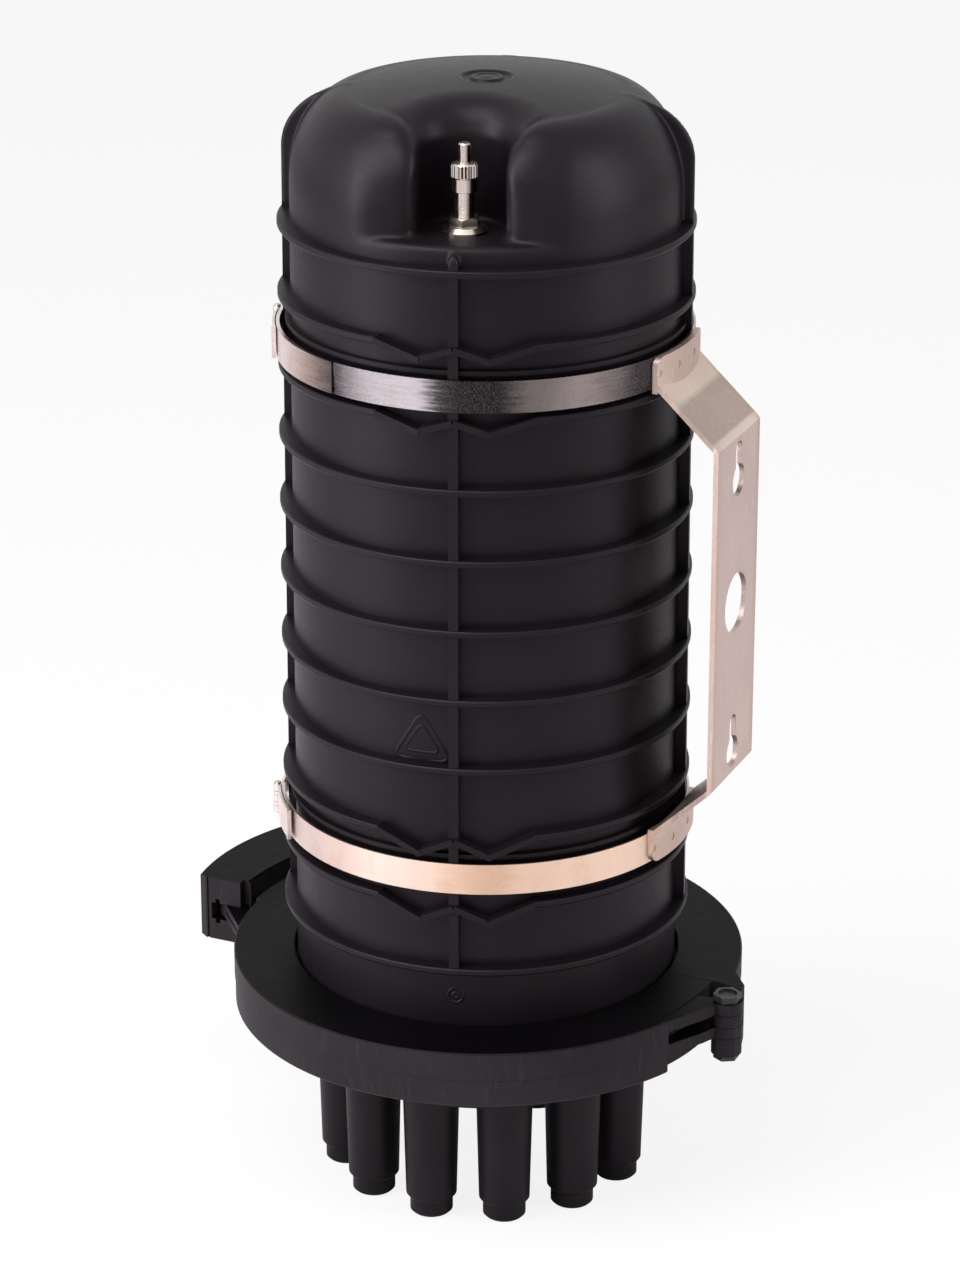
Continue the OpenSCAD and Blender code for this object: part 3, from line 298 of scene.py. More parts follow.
def band_steel(name, painted_reflection_tones, rough, dulling):
    """Rolled strap: grain along the band, a painted reflection that changes round it by azimuth, small
    stains.
    """
    m = Material(name)
    grain = m.noise(260.0, detail=3.0, rough=0.6, vec=m.ring_vec(along=0.35, outward=26.0, upward=26.0))
    line = m.noise(60.0, detail=2.0, rough=0.5, vec=m.ring_vec(along=0.10, outward=0.0, upward=14.0))
    drift_path = m.ring_vec(along=0.9, outward=0.0, upward=0.8)
    drift = m.noise(5.5, detail=2.0, rough=0.5, vec=drift_path, distortion=0.2)
    blot_path = m.ring_vec(along=0.16, outward=1.0, upward=1.4)
    blot = m.noise(46.0, detail=4.0, rough=0.6, vec=blot_path, distortion=0.8)
    x, y, _ = m.split(m.coord)
    wander = m.times(m.math("SUBTRACT", line, 0.5), 0.022)
    # painted reflection: the colour is set by azimuth round the band, wobbled a little by a line noise
    color = m.ramp(m.math("ADD", m.turns(m.azimuth(x, y)), wander), by_azimuth(painted_reflection_tones))
    color = m.mix(m.times(m.threshold(blot, 0.5, 0.70), 0.35), color, STAIN, blend="MULTIPLY")
    color = m.mix(m.times(m.threshold(drift, 0.4, 0.62), dulling), color, DULLED, blend="MULTIPLY")
    color = m.mix(m.times(m.threshold(grain, 0.42, 0.66), 0.10), color, BRIGHT_GRAIN)
    m.set(color=color, metal=1.0, rough=m.map_range(grain, 0.3, 0.7, rough, rough + 0.12), aniso=0.35)
    m.bump((blot, 0.05, 0.0006), (grain, 0.10, 0.00006))
    return m.mat


# Where heat tint comes in on the bracket, from none to full, in metres
EDGE_TINT_Y = (0.0180, 0.0230)
TOP_TAB_Z = (0.335, 0.352)
BOTTOM_TAB_Z = (0.175, 0.158)
ARM_OUTER_X = (0.1022, 0.1012)
ARM_INNER_X = (0.0865, 0.0885)


def bracket_heat(m, x, y, z, cloud):
    """Where the bracket's sheet is brown: its long edges and end tabs in patches, and its arm."""
    edge = m.times(m.fade(m.math("ABSOLUTE", y), *EDGE_TINT_Y), 0.7)
    tabs = m.times(m.math("MAXIMUM", m.fade(z, *TOP_TAB_Z), m.fade(z, *BOTTOM_TAB_Z)), 0.6)
    patches = m.times(m.math("MAXIMUM", edge, tabs), m.threshold(cloud, 0.35, 0.6))
    arm = m.times(m.fade(x, *ARM_OUTER_X), m.fade(x, *ARM_INNER_X))
    return patches, arm


def sheet_steel(name, tint, rough):
    """Rolled stainless sheet: upright grain, brown heat tint toward edges and welds, handling marks."""
    m = Material(name)
    x, y, z = m.split(m.coord)
    grain = m.noise(120.0, detail=4.0, rough=0.65, vec=m.mapped((30, 30, 0.6)))
    cloud = m.noise(26.0, detail=4.0, rough=0.6)
    slanted = m.mapped((9, 14, 1.2), rotation=(0.1, 0.2, 0.3))
    marks = m.noise(60.0, detail=2.0, rough=0.4, vec=slanted, distortion=0.5)
    scratch = m.ramp(marks, [(0.49, 0.0), (0.5, 1.0), (0.51, 0.0)])
    patches, arm = bracket_heat(m, x, y, z, cloud)
    color = m.mix(m.threshold(cloud, 0.3, 0.75), scaled(tint, 0.86), tint)
    color = m.mix(patches, color, HEAT_BROWN)
    color = m.mix(m.times(arm, 0.9), color, ARM_BROWN)
    color = m.mix(m.times(scratch, 0.35), color, FRESH_SCRATCH)
    m.set(color=color, metal=1.0, rough=m.map_range(grain, 0.3, 0.7, rough, rough + 0.14), aniso=0.3)
    m.bump((cloud, 0.04, 0.001), (grain, 0.10, 0.00008), (scratch, 0.05, 0.00005))
    return m.mat


def plated(name, tint, rough, wear=0.3, painted_reflection=None):
    """Plated or plain turned metal: turning lines, dulled patches, and a painted reflection on its upright
    faces.
    """
    m = Material(name)
    fine = m.noise(900.0, detail=3.0, rough=0.6, vec=m.mapped((1, 1, 8)))
    cloud = m.noise(180.0, detail=3.0, rough=0.6)
    dulled = tuple(c * k for c, k in zip(tint, (0.72, 0.66, 0.58)))
    color = m.mix(m.times(m.threshold(cloud, 0.4, 0.7), wear), tint, dulled)
    if painted_reflection:
        x, y, z = m.normal()
        # painted reflection: colour by the azimuth of the normal, strongest on upright faces
        painted_reflection_color = m.ramp(m.turns(m.azimuth(x, y)), by_azimuth(painted_reflection))
        upright = m.map_range(m.math("ABSOLUTE", z), 0.35, 0.8, 1.0, 0.25)
        color = m.mix(upright, color, painted_reflection_color, blend="MULTIPLY")
    m.set(color=color, metal=1.0, rough=m.map_range(cloud, 0.3, 0.7, rough, rough + 0.12))
    m.bump((cloud, 0.03, 0.0003), (fine, 0.06, 0.00004))
    return m.mat


def blackened(name):
    """Blackened steel, rubbed a little lighter in spots."""
    m = Material(name)
    cloud = m.noise(300.0, detail=4.0, rough=0.6)
    rub = m.threshold(m.noise(700.0, detail=3.0, rough=0.6), 0.58, 0.7)
    color = m.mix(m.times(rub, 0.5), (0.018, 0.018, 0.019), (0.09, 0.088, 0.085))
    m.set(color=color, metal=0.4, rough=m.map_range(cloud, 0.3, 0.7, 0.36, 0.52), spec=0.5)
    m.bump((cloud, 0.06, 0.0002))
    return m.mat


def rubber(name, base):
    """Matt rubber with a fine skin."""
    m = Material(name)
    cloud = m.noise(120.0, detail=4.0, rough=0.6)
    skin = m.noise(1500.0, detail=2.0, rough=0.5)
    color = m.mix(cloud, scaled(base, 0.8), scaled(base, 1.25))
    m.set(color=color, rough=m.map_range(cloud, 0.3, 0.7, 0.6, 0.78), spec=0.3)
    m.bump((skin, 0.08, 0.0002))
    return m.mat


def light_plastic(name, base, rough, gloss=0.4):
    """Pale moulded plastic with fine grain and upright scuffs."""
    m = Material(name)
    cloud = m.noise(30.0, detail=4.0, rough=0.6)
    grain = m.noise(1800.0, detail=2.0, rough=0.5)
    scuff = m.threshold(m.noise(240.0, detail=4.0, rough=0.7, vec=m.mapped((1, 1, 0.15))), 0.62, 0.72)
    color = m.mix(m.threshold(cloud, 0.3, 0.7), scaled(base, 0.95), base)
    color = m.mix(m.times(scuff, 0.16), color, scaled(base, 0.8))
    m.set(color=color, rough=m.map_range(cloud, 0.3, 0.7, rough - 0.04, rough + 0.07), spec=gloss)
    m.bump((cloud, 0.03, 0.001), (grain, 0.05, 0.0001))
    return m.mat


def woven(name, base):
    """Woven strap: two crossing sets of threads."""
    m = Material(name)
    threads = []
    for direction, scale in (("Z", 420.0), ("DIAGONAL", 520.0)):
        wave = m.node("ShaderNodeTexWave", wave_type="BANDS", bands_direction=direction)
        m.link(m.coord, wave.inputs["Vector"])
        wave.inputs["Scale"].default_value = scale
        wave.inputs["Distortion"].default_value = 1.0
        threads.append(wave.outputs["Fac"])
    weave = m.times(*threads)
    m.set(color=m.mix(weave, scaled(base, 0.6), scaled(base, 1.7)), rough=0.85, sheen=0.3)
    m.bump((weave, 0.5, 0.0004))
    return m.mat


# Painted reflections on the bright metals: what they reflect, painted into their colour by azimuth in
# degrees
UPPER_PAINTED_REFLECTION = [
    (-180, (0.42, 0.40, 0.38)), (-90, (0.60, 0.56, 0.54)), (-49, (0.90, 0.80, 0.75)),
    (-36, (0.42, 0.33, 0.28)), (-27, (0.11, 0.08, 0.068)), (-21.5, (0.016, 0.014, 0.016)),
    (-16, (0.13, 0.125, 0.13)), (-4, (0.28, 0.27, 0.27)), (5, (0.46, 0.44, 0.46)),
    (10, (0.04, 0.036, 0.038)), (15, (0.002, 0.0018, 0.002)), (27, (0.002, 0.0018, 0.002)),
    (34, (0.14, 0.12, 0.115)), (48, (0.25, 0.21, 0.20)), (58, (0.11, 0.095, 0.09)),
    (67, (0.010, 0.008, 0.009)), (78, (0.010, 0.008, 0.009)), (100, (0.40, 0.37, 0.35)),
    (180, (0.42, 0.40, 0.38)),
]
LOWER_PAINTED_REFLECTION = [
    (-180, (0.60, 0.54, 0.48)), (-60, (0.70, 0.63, 0.57)), (-42, (0.64, 0.55, 0.50)),
    (-21, (0.60, 0.48, 0.40)), (-7, (0.72, 0.60, 0.51)), (8, (0.72, 0.57, 0.45)),
    (16, (0.64, 0.45, 0.31)), (24, (0.58, 0.39, 0.27)), (34, (0.68, 0.50, 0.36)),
    (48, (0.72, 0.54, 0.41)), (66, (0.74, 0.57, 0.43)), (110, (0.66, 0.58, 0.50)),
    (180, (0.60, 0.54, 0.48)),
]
VALVE_PAINTED_REFLECTION = [
    (-180, 0.5), (-75, 0.8), (-50, 0.95), (-28, 0.3), (-8, 0.22), (8, 0.85),
    (28, 1.0), (42, 0.5), (60, 0.12), (85, 0.10), (105, 0.6), (180, 0.5),
]
DOME_BLACK = (0.0048, 0.0032, 0.0047)
BASE_BLACK = (0.0052, 0.0038, 0.0050)
CLAMP_BLACK = (0.0185, 0.0165, 0.0180)
# painted shade for the clamp's up-facing faces, darker than its sides
CLAMP_TOP_PAINTED_SHADE = (0.0012, 0.0010, 0.0013)
LOOKS = {
    "dome": moulded_black("dome_black", DOME_BLACK, rough=0.42, grain=0.09),
    "base": moulded_black("base_black", BASE_BLACK, rough=0.46, grain=0.12),
    "clamp": moulded_black("clamp_black", CLAMP_BLACK, rough=0.46, streak=0.75, grain=0.16, spec=0.05,
                           top=CLAMP_TOP_PAINTED_SHADE),
    "bolt": blackened("black_bolt"),
    "pin": plated("pin_steel", (0.46, 0.46, 0.47), rough=0.26),
    "upper_band": band_steel("upper_band_steel", UPPER_PAINTED_REFLECTION, rough=0.20, dulling=0.15),
    "lower_band": band_steel("lower_band_steel", LOWER_PAINTED_REFLECTION, rough=0.30, dulling=0.10),
    "bracket": sheet_steel("bracket_sheet", (0.60, 0.495, 0.435), rough=0.36),
    "nickel": plated("valve_nickel", (0.82, 0.75, 0.66), rough=0.16, painted_reflection=VALVE_PAINTED_REFLECTION),
    "rubber": rubber("seal_rubber", (0.022, 0.022, 0.023)),
    "brass": plated("valve_brass", (0.70, 0.52, 0.26), rough=0.24),
    "zinc": plated("zinc_steel", (0.62, 0.63, 0.65), rough=0.32, wear=0.4),
    "tray": light_plastic("tray_plastic", (0.80, 0.80, 0.77), rough=0.42),
    "cover": light_plastic("cover_plastic", (0.66, 0.71, 0.76), rough=0.20, gloss=0.5),
    "holder": rubber("holder_rubber", (0.14, 0.14, 0.155)),
    "strap": woven("strap_weave", (0.025, 0.025, 0.028)),
}
NODES_BY_LOOK = {
    "dome": ["dome"],
    "base": ["base"],
    "clamp": ["clamp_front_half", "clamp_rear_half", "latch_lever", "latch_link"],
    "bolt": ["hinge_bolt", "hinge_nut"],
    "pin": ["latch_link_pin", "latch_lever_pin", "upper_clasp_pin", "lower_clasp_pin"],
    "upper_band": ["upper_band", "upper_clasp_lever", "upper_clasp_link"],
    "lower_band": ["lower_band", "lower_clasp_lever", "lower_clasp_link"],
    "bracket": ["wall_bracket"],
    "nickel": ["valve_stem", "valve_washer", "valve_nut", "valve_cap"],
    "rubber": ["dome_seal", "valve_gasket", "valve_cap_seal"],
    "brass": ["valve_core", "valve_pin"],
    "zinc": ["tray_frame", "tray_pivots", "strength_clamps", "strength_clamp_screws", "frame_screws"],
    "tray": ["splice_tray_1", "splice_tray_2", "splice_tray_3", "splice_tray_4", "tray_hinge",
             "storage_basket"],
    "cover": ["tray_cover"],
    "holder": ["splice_holders"],
    "strap": ["tray_strap"],
}
LOOK_OF_NODE = {name: look for look, names in NODES_BY_LOOK.items() for name in names}
for name, obj in nodes.items():
    obj.data.materials.clear()
    obj.data.materials.append(LOOKS[LOOK_OF_NODE[name]])


# ------------------------------------------------------------------ pieces of the visual model
def add_piece(name, mesh, look):
    """Piece made of a finished mesh, on the closure's body."""
    piece = bpy.data.objects.new(name, mesh)
    scene.collection.objects.link(piece)
    mesh.materials.append(LOOKS[look])
    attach(piece, "closure")
    return piece


def smooth_mesh(name, verts, faces):
    """Mesh with smooth shading from points in metres."""
    mesh = bpy.data.meshes.new(name)
    mesh.from_pydata([tuple(v) for v in verts], [], faces)
    mesh.update()
    mesh.polygons.foreach_set("use_smooth", [True] * len(mesh.polygons))
    return mesh


# ------------------------------------------------------------------ the dome's moulded top, in millimetres
CROWN_R = 51.5
CROWN_Z = 453
CROWN_DROP = 5


def crown_z(radius):
    """Height of the slightly domed crown."""
    return CROWN_Z - CROWN_DROP * (radius / CROWN_R) ** 2


def shoulder(half_width, half_height, radius, height, steps=24):
    """Quarter of an ellipse about a middle, from its side up to its top."""
    angles = [i * math.pi / 2 / steps for i in range(steps + 1)]
    return [(radius + half_width * math.cos(t), height + half_height * math.sin(t)) for t in angles]


def segment_distance(x, z, line):
    """Distance from each point to a polyline."""
    best = np.full(x.shape, 1e9)
    for (ax, az), (bx, bz) in zip(line[:-1], line[1:]):
        dx, dz = bx - ax, bz - az
        t = np.clip(((x - ax) * dx + (z - az) * dz) / (dx * dx + dz * dz), 0, 1)
        best = np.minimum(best, np.hypot(x - ax - t * dx, z - az - t * dz))
    return best


class Profile:
    """Signed distance to a body of revolution, tabled over radius and height."""

    STEP = 0.5
    REACH = 92
    LOW, HIGH = 372, 470

    def __init__(self, line):
        radii = np.arange(0, self.REACH, self.STEP)
        heights = np.arange(self.LOW, self.HIGH, self.STEP)
        r, z = np.meshgrid(radii, heights, indexing="ij")
        line_r, line_z = np.array(line).T
        distance = segment_distance(r, z, line)
        inside = (r < np.interp(z, line_z, line_r)) & (z < line_z[-1])
        self.table = np.where(inside, -distance, distance)

    def __call__(self, r, z):
        """Signed distance at each radius and height, read between the table's values."""
        i = np.clip(r / self.STEP, 0, self.table.shape[0] - 1.001)
        k = np.clip((z - self.LOW) / self.STEP, 0, self.table.shape[1] - 1.001)
        i0, k0 = i.astype(int), k.astype(int)
        di, dk = i - i0, k - k0
        table = self.table
        below = table[i0, k0] * (1 - di) + table[i0 + 1, k0] * di
        above = table[i0, k0 + 1] * (1 - di) + table[i0 + 1, k0 + 1] * di
        return below * (1 - dk) + above * dk


WALL_FOOT = [(75.2, 370)]
RIB_FOOT = [(79.4, 370)]
CROWN = [(CROWN_R * share, crown_z(CROWN_R * share)) for share in (0.85, 0.7, 0.55, 0.4, 0.25, 0.1, 0.0)]
RIB_CROWN = [(49, 447.4), (30, 447.6), (0, 447.6)]
SHELL = Profile(WALL_FOOT + shoulder(23.5, 35, CROWN_R, 413) + CROWN)
SPINE = Profile(RIB_FOOT + shoulder(30, 24, 49.2, 423.5) + RIB_CROWN)

VALVE_REACH = 52.0       # from the dome's axis to the valve's
POCKET_FLOOR_Z = 407.0
POCKET_HALF = 16.6       # half its width, and the radius of its back round the valve
POCKET_FRONT_Y = -66.0   # in front of this the dome is cut flat
POCKET_FLARE = 8.0
POCKET_FLOOR_BLEND = 2.5
LIP_HEIGHTS = [404, 409, 418, 430, 442]
LIP_BLENDS = [3.0, 3.5, 4.0, 7.0, 16.0]   # how far the pocket's rim is rounded at those heights
RIB_WAYS = ((1, 0), (0, 1), (-1, 0))
RIB_HALF = 1.9
RIB_EDGE_BLEND = 0.8
RIB_ROOT = 20            # from the axis to where a rib starts, inside the shell
RIB_ROOT_BLEND = 0.5
RIB_FOOT_BLEND = 1.4
FRONT_RIB_ROOT = 60
FRONT_RIB_TOP_Z = 405.5  # the front rib ends under the pocket
FRONT_RIB_TOP_BLEND = 4.0


def soft_max(a, b, blend):
    """The larger of two distances, rounded where they differ by less than the blend."""
    h = np.maximum(blend - np.abs(a - b), 0) / blend
    return np.maximum(a, b) + h * h * blend / 4


def soft_min(a, b, blend):
    """The smaller of two distances, rounded in the same way."""
    return -soft_max(-a, -b, blend)


def dome_top(x, y, z):
    """Signed distance to the dome above its top rib, before its turn, with the valve pocket toward -Y."""
    radius = np.hypot(x, y)
    slot_back = np.hypot(x, y + VALVE_REACH) - POCKET_HALF
    slot_sides = np.maximum(np.abs(x) - POCKET_HALF, y + VALVE_REACH)
    plan = soft_min(np.minimum(slot_back, slot_sides), y - POCKET_FRONT_Y, POCKET_FLARE)
    pocket = soft_max(plan, POCKET_FLOOR_Z - z, POCKET_FLOOR_BLEND)
    body = soft_max(SHELL(radius, z), -pocket, np.interp(z, LIP_HEIGHTS, LIP_BLENDS))
    outline = SPINE(radius, z)
    front = soft_max(outline, np.abs(x) - RIB_HALF, RIB_EDGE_BLEND)
    front = soft_max(front, z - FRONT_RIB_TOP_Z, FRONT_RIB_TOP_BLEND)
    ribs = np.maximum(front, y + FRONT_RIB_ROOT)
    for dx, dy in RIB_WAYS:
        along = x * dx + y * dy
        across = np.abs(x * dy - y * dx) - RIB_HALF
        rib = soft_max(outline, across, RIB_EDGE_BLEND)
        ribs = np.minimum(ribs, soft_max(rib, RIB_ROOT - along, RIB_ROOT_BLEND))
    return soft_min(body, ribs, RIB_FOOT_BLEND)


def crossed_cells(values):
    """Grid cells that the zero level crosses, and in each the mean of its edges' crossings, from 0 to 1."""
    cells = tuple(size - 1 for size in values.shape)
    total = np.zeros(cells + (3,))
    count = np.zeros(cells)
    for axis in range(3):
        side, other = [a for a in range(3) if a != axis]
        for s in range(2):
            for t in range(2):
                low = [slice(0, -1)] * 3
                low[side] = slice(s, cells[side] + s)
                low[other] = slice(t, cells[other] + t)
                high = list(low)
                high[axis] = slice(1, None)
                start, end = values[tuple(low)], values[tuple(high)]
                crossed = (start < 0) != (end < 0)
                offset = np.zeros(start.shape + (3,))
                offset[..., axis] = np.where(crossed, start / np.where(crossed, start - end, 1), 0)
                offset[..., side] = s
                offset[..., other] = t
                total += np.where(crossed[..., None], offset, 0)
                count += crossed
    used = count > 0
    return used, total[used] / count[used][:, None]


def edge_quads(inside, index, axis):
    """Quads round the grid edges along an axis that the surface crosses, wound to face outward."""
    u, w = [a for a in range(3) if a != axis]
    before, after = [slice(None)] * 3, [slice(None)] * 3
    before[axis], after[axis] = slice(0, -1), slice(1, None)
    starts_inside = inside[tuple(before)]
    edges = np.argwhere(starts_inside != inside[tuple(after)])
    for a in (u, w):
        edges = edges[(edges[:, a] > 0) & (edges[:, a] < inside.shape[a] - 1)]
    corners = []
    for du, dw in ((1, 1), (0, 1), (0, 0), (1, 0)):
        cell = edges.copy()
        cell[:, u] -= du
        cell[:, w] -= dw
        corners.append(index[tuple(cell.T)])
    quads = np.stack(corners, 1)
    outward = starts_inside[tuple(edges.T)]
    if axis == 1:
        outward = ~outward
    quads[~outward] = quads[~outward][:, ::-1]
    return quads[(quads >= 0).all(1)]


def surface_nets(field, low, size, step):
    """Points and quads of a field's zero level on a regular grid, with one point in each crossed cell."""
    axes = [low[i] + step * np.arange(size[i]) for i in range(3)]
    values = field(*np.meshgrid(*axes, indexing="ij"))
    used, offsets = crossed_cells(values)
    index = np.full(used.shape, -1)
    index[used] = np.arange(used.sum())
    points = (np.argwhere(used) + offsets) * step + np.array(low)
    return points, np.concatenate([edge_quads(values < 0, index, axis) for axis in range(3)])


PROBE = 0.3              # how far to each side a slope is measured
LONGEST_MOVE = 0.7
LEAST_SLOPE = 0.2


def on_surface(field, points):
    """Points moved onto the zero level along its slope, in two rounds."""
    for _ in range(2):
        x, y, z = points.T
        slope = np.stack([field(x + PROBE, y, z) - field(x - PROBE, y, z),
                          field(x, y + PROBE, z) - field(x, y - PROBE, z),
                          field(x, y, z + PROBE) - field(x, y, z - PROBE)], 1) / (2 * PROBE)
        steepness = np.maximum((slope * slope).sum(1), LEAST_SLOPE)
        move = np.clip(field(x, y, z), -LONGEST_MOVE, LONGEST_MOVE) / steepness
        points = points - slope * move[:, None]
    return points


# ------------------------------------------------------------------ the dome as a piece
DOME_TURN = math.radians(14.0)   # azimuth of the valve pocket
GRID_LOW = (-84.0, -84.0, 398.0)
GRID_SIZE = (169, 169, 58)
GRID_STEP = 1.0
SEAM_Z = 0.4012                  # below it the dome is the solid's own mesh
SEAM_LAP = 0.0004
SEAM_MARGIN = 0.002              # faces lower than this under the seam are dropped before the cut
ROUNDEL_HOLE_R = 0.0106
SHARP_ANGLE = math.radians(38)


def cut_level(shape, height, **cleared):
    """Cut a mesh at a height and clear one side of the cut."""
    parts = list(shape.verts) + list(shape.edges) + list(shape.faces)
    bmesh.ops.bisect_plane(shape, geom=parts, plane_co=(0, 0, height), plane_no=(0, 0, 1), **cleared)


def moulded_top():
    """Mesh of the dome's top, from just under the seam up, open where the roundel sits."""
    points, quads = surface_nets(dome_top, GRID_LOW, GRID_SIZE, GRID_STEP)
    x, y, z = (on_surface(dome_top, points) * MM).T
    c, s = math.cos(DOME_TURN), math.sin(DOME_TURN)
    points = np.stack([x * c - y * s, x * s + y * c, z], 1)
    x, y, z = points[quads].mean(1).T
    kept = (np.hypot(x, y) > ROUNDEL_HOLE_R) & (z > SEAM_Z - SEAM_MARGIN)
    top = bmesh.new()
    verts = [top.verts.new(point) for point in points]
    for quad in quads[kept]:
        top.faces.new([verts[i] for i in quad]).smooth = True
    bmesh.ops.delete(top, geom=[v for v in top.verts if not v.link_faces], context="VERTS")
    cut_level(top, SEAM_Z - SEAM_LAP, clear_inner=True)
    mesh = bpy.data.meshes.new("top")
    top.to_mesh(mesh)
    top.free()
    return mesh


def build_dome():
    """The dome as it looks: the solid's mesh up to the seam, and the smooth moulded top above it."""
    dome = bmesh.new()
    dome.from_mesh(nodes["dome"].data)
    dome.transform(nodes["dome"].matrix_world)
    cut_level(dome, SEAM_Z, clear_outer=True)
    for face in dome.faces:
        face.smooth = True
    dome.from_mesh(moulded_top())
    mesh = bpy.data.meshes.new("dome_moulded")
    dome.to_mesh(mesh)
    dome.free()
    piece = add_piece("dome_moulded", mesh, "dome")
    mesh.set_sharp_from_angle(angle=SHARP_ANGLE)
    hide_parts("dome")


def lathe(profile, steps=96):
    """Points and faces of a profile of (radius, height) in millimetres, turned round the axis."""
    verts, faces = [], []
    for r, z in profile:
        for i in range(steps):
            a = 2 * math.pi * i / steps
            verts.append((r * math.cos(a) * MM, r * math.sin(a) * MM, z * MM))
    for ring in range(len(profile) - 1):
        low, high = ring * steps, (ring + 1) * steps
        for i in range(steps):
            k = (i + 1) % steps
            faces.append((low + i, low + k, high + k, high + i))
    return verts, faces


def build_roundel():
    """Round recess with a plain boss in the middle of the crown."""
    rim = [(12.2, crown_z(12.2) - 0.25), (11.6, crown_z(11.6) + 0.02), (10.4, crown_z(10.4) - 0.02)]
    recess = [(9.6, crown_z(9.6) - 0.35), (9.0, 451.9), (8.2, 451.75), (6.8, 451.75)]
    ridge = [(6.45, 451.9), (6.3, 452.55), (6.0, 452.8), (5.4, 452.86), (4.6, 452.62), (4.3, 452.5)]
    boss = [(2.6, 452.5), (2.3, 452.62), (1.2, 452.7), (0.02, 452.7)]
    add_piece("crown_roundel", smooth_mesh("crown_roundel", *lathe(rim + recess + ridge + boss)), "dome")


# ------------------------------------------------------------------ marks moulded on the wall
WALL_TOP_R = 75
WALL_TOP_Z = 397
WALL_DRAFT = 0.005       # radius gained for each millimetre down
MARK_R = 76              # radius at which a mark's plan is rolled up
LINE_RISE = 0.28
LINE_FOOT = 1.6          # half width of a line's foot, for a half width of 1 on top
LINE_SINK = -0.15


def on_wall(azimuth, z, rise):
    """Point on the tube's tapered wall or off it, from degrees and millimetres."""
    r = WALL_TOP_R + WALL_DRAFT * (WALL_TOP_Z - z) + rise
    return around(math.radians(azimuth), r * MM, z * MM)


def wall_outline(name, plan, width, azimuth, height):
    """Closed raised line on the wall; its plan is (along, up) in millimetres from its middle."""
    section = ((-LINE_FOOT, LINE_SINK), (-1, LINE_RISE), (1, LINE_RISE), (LINE_FOOT, LINE_SINK))
    verts, faces = [], []
    n = len(plan)
    for i, (u, v) in enumerate(plan):
        before, after = plan[i - 1], plan[(i + 1) % n]
        du, dv = after[0] - before[0], after[1] - before[1]
        k = width / 2 / math.hypot(du, dv)
        for side, rise in section:
            along, up = u - dv * k * side, v + du * k * side
            verts.append(on_wall(azimuth + math.degrees(along / MARK_R), height + up, rise))
        for j in range(3):
            low, high = i * 4 + j, (i + 1) % n * 4 + j
            faces.append((low, low + 1, high + 1, high))
    add_piece(name, smooth_mesh(name, verts, faces), "dome")


def rounded_triangle(half, height, reach, steps=6):
    """Plan of a triangle whose corners are rounded over a reach along each side."""
    points = []
    corners = [(-half, -height / 2), (half, -height / 2), (0, height / 2)]
    for i, corner in enumerate(corners):
        ends = []
        for other in (corners[i - 1], corners[(i + 1) % 3]):
            side = math.dist(other, corner)
            ends.append([corner[j] + (other[j] - corner[j]) * reach / side for j in range(2)])
        start, end = ends
        for k in range(steps + 1):
            t = k / steps
            points.append(tuple((1 - t) ** 2 * start[j] + 2 * t * (1 - t) * corner[j] + t * t * end[j]
                                for j in range(2)))
    return points


def circle_plan(radius, steps=32):
    angles = [2 * math.pi * i / steps for i in range(steps)]
    return [(radius * math.cos(a), radius * math.sin(a)) for a in angles]


# ------------------------------------------------------------------ the valve's thread
THREAD_R = 3.6
THREAD_PITCH = 0.8
THREAD_STEPS = 36
THREAD_SECTION = ((-0.30, -0.38), (0.06, -0.06), (0.06, 0.06), (-0.30, 0.38))   # outward, up
THREAD_SUNK = 0.2                # start under the nut's top
THREAD_SHORT = 0.8               # end under the stem's top


def build_stem_thread():
    """Rolled thread that shows on the valve stem between the nut and the cap."""
    cx, cy = VALVE_REACH * math.sin(DOME_TURN), -VALVE_REACH * math.cos(DOME_TURN)
    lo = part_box("valve_nut")[1][2] * 1000 - THREAD_SUNK
    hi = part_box("valve_stem")[1][2] * 1000 - THREAD_SHORT
    steps = int((hi - lo) / THREAD_PITCH * THREAD_STEPS)
    verts, faces = [], []
    for i in range(steps + 1):
        a = 2 * math.pi * i / THREAD_STEPS
        z = lo + THREAD_PITCH * i / THREAD_STEPS
        for dr, dz in THREAD_SECTION:
            r = THREAD_R + dr
            verts.append(((cx + r * math.cos(a)) * MM, (cy + r * math.sin(a)) * MM, (z + dz) * MM))
    for i in range(steps):
        for j in range(3):
            low, high = i * 4 + j, (i + 1) * 4 + j
            faces.append((low, high, high + 1, low + 1))
    last = steps * 4
    faces.append((0, 1, 2, 3))
    faces.append((last + 3, last + 2, last + 1, last))
    add_piece("stem_thread", smooth_mesh("stem_thread", verts, faces), "nickel")


build_dome()
build_roundel()
wall_outline("mould_mark", rounded_triangle(12.0, 20.0, 5.0), width=1.1, azimuth=4.0, height=214.0)
wall_outline("mould_mark_inner", rounded_triangle(7.6, 12.0, 3.4), width=0.8, azimuth=4.0, height=213.4)
wall_outline("date_ring", circle_plan(3.0), width=0.7, azimuth=14.0, height=106.0)
wall_outline("date_dot", circle_plan(1.1, steps=20), width=0.8, azimuth=14.0, height=106.0)
build_stem_thread()

# ------------------------------------------------------------------ stage and light
FLOOR_SIZE = 6.0
FLOOR_WHITE = 0.86
FLOOR_GLOW = 0.86                # share of white that the camera sees on the floor
WORLD_LIGHT = 0.35
SOFTBOX_TINT = (1.0, 0.91, 0.985)
SOFTBOX_TARGET = Vector((0, 0, 0.24))


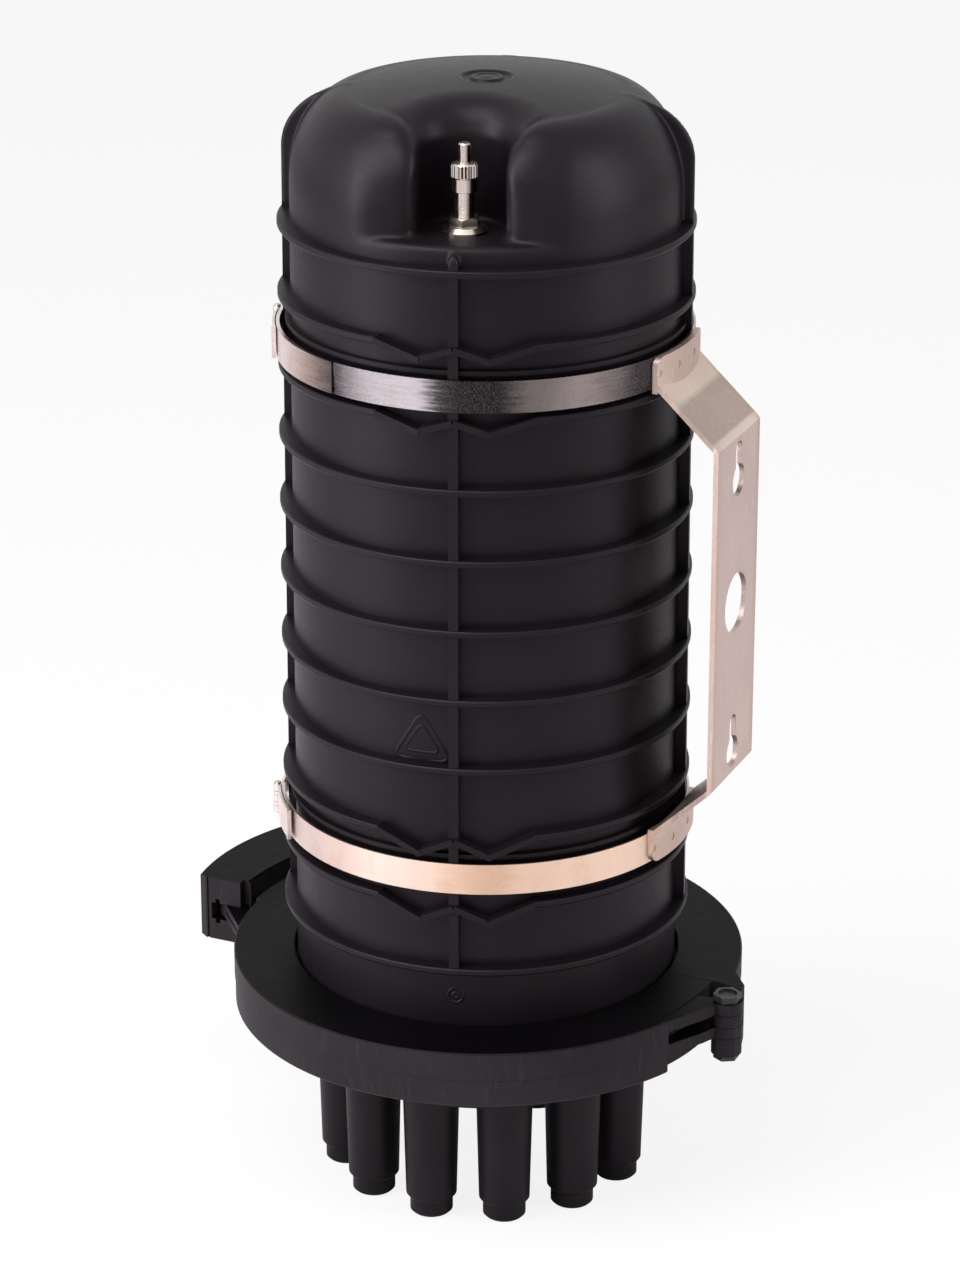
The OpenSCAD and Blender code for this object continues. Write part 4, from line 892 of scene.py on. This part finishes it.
def floor_material():
    """Pale floor that keeps the object's shadow and looks almost white to the camera."""
    material = bpy.data.materials.new("floor_white")
    tree = Tree(material, "ShaderNodeOutputMaterial")
    matt = tree.grey("ShaderNodeBsdfDiffuse", FLOOR_WHITE)
    glow = tree.grey("ShaderNodeEmission", 1.0, strength=1.0)
    ray = tree.node("ShaderNodeLightPath").outputs
    tree.finish_mixed(tree.math("MULTIPLY", ray["Is Camera Ray"], FLOOR_GLOW), matt, glow)
    return material


def build_floor():
    grid = bmesh.new()
    bmesh.ops.create_grid(grid, x_segments=8, y_segments=8, size=FLOOR_SIZE)
    mesh = bpy.data.meshes.new("floor")
    grid.to_mesh(mesh)
    grid.free()
    floor = bpy.data.objects.new("floor", mesh)
    scene.collection.objects.link(floor)
    mesh.materials.append(floor_material())


def build_world():
    """Low even light, and plain white wherever the camera, glass or gloss looks past the object."""
    world = bpy.data.worlds.new("studio")
    scene.world = world
    tree = Tree(world, "ShaderNodeOutputWorld")
    light = tree.grey("ShaderNodeBackground", 1.0, strength=WORLD_LIGHT)
    backdrop = tree.grey("ShaderNodeBackground", 1.0, strength=1.0)
    ray = tree.node("ShaderNodeLightPath").outputs
    seen = tree.math("MAXIMUM", ray["Is Camera Ray"], ray["Is Transmission Ray"])
    tree.finish_mixed(tree.math("MAXIMUM", seen, ray["Is Glossy Ray"]), light, backdrop)


def softbox(name, azimuth, distance, height, size, power):
    """Soft box at an azimuth in degrees, aimed at the object's middle."""
    light = bpy.data.lights.new(name, "AREA")
    light.shape = "RECTANGLE"
    light.size, light.size_y = size
    light.energy = power
    light.color = SOFTBOX_TINT
    lamp = bpy.data.objects.new(name, light)
    scene.collection.objects.link(lamp)
    lamp.location = around(math.radians(azimuth), distance, height)
    aim(lamp, SOFTBOX_TARGET - lamp.location)


build_floor()
build_world()
softbox("softbox_left", azimuth=-45, distance=1.5, height=0.75, size=(0.7, 1.5), power=30)
softbox("softbox_right", azimuth=95, distance=1.6, height=0.8, size=(0.5, 1.4), power=16)
softbox("softbox_top", azimuth=-20, distance=0.9, height=1.7, size=(1.2, 1.0), power=22)
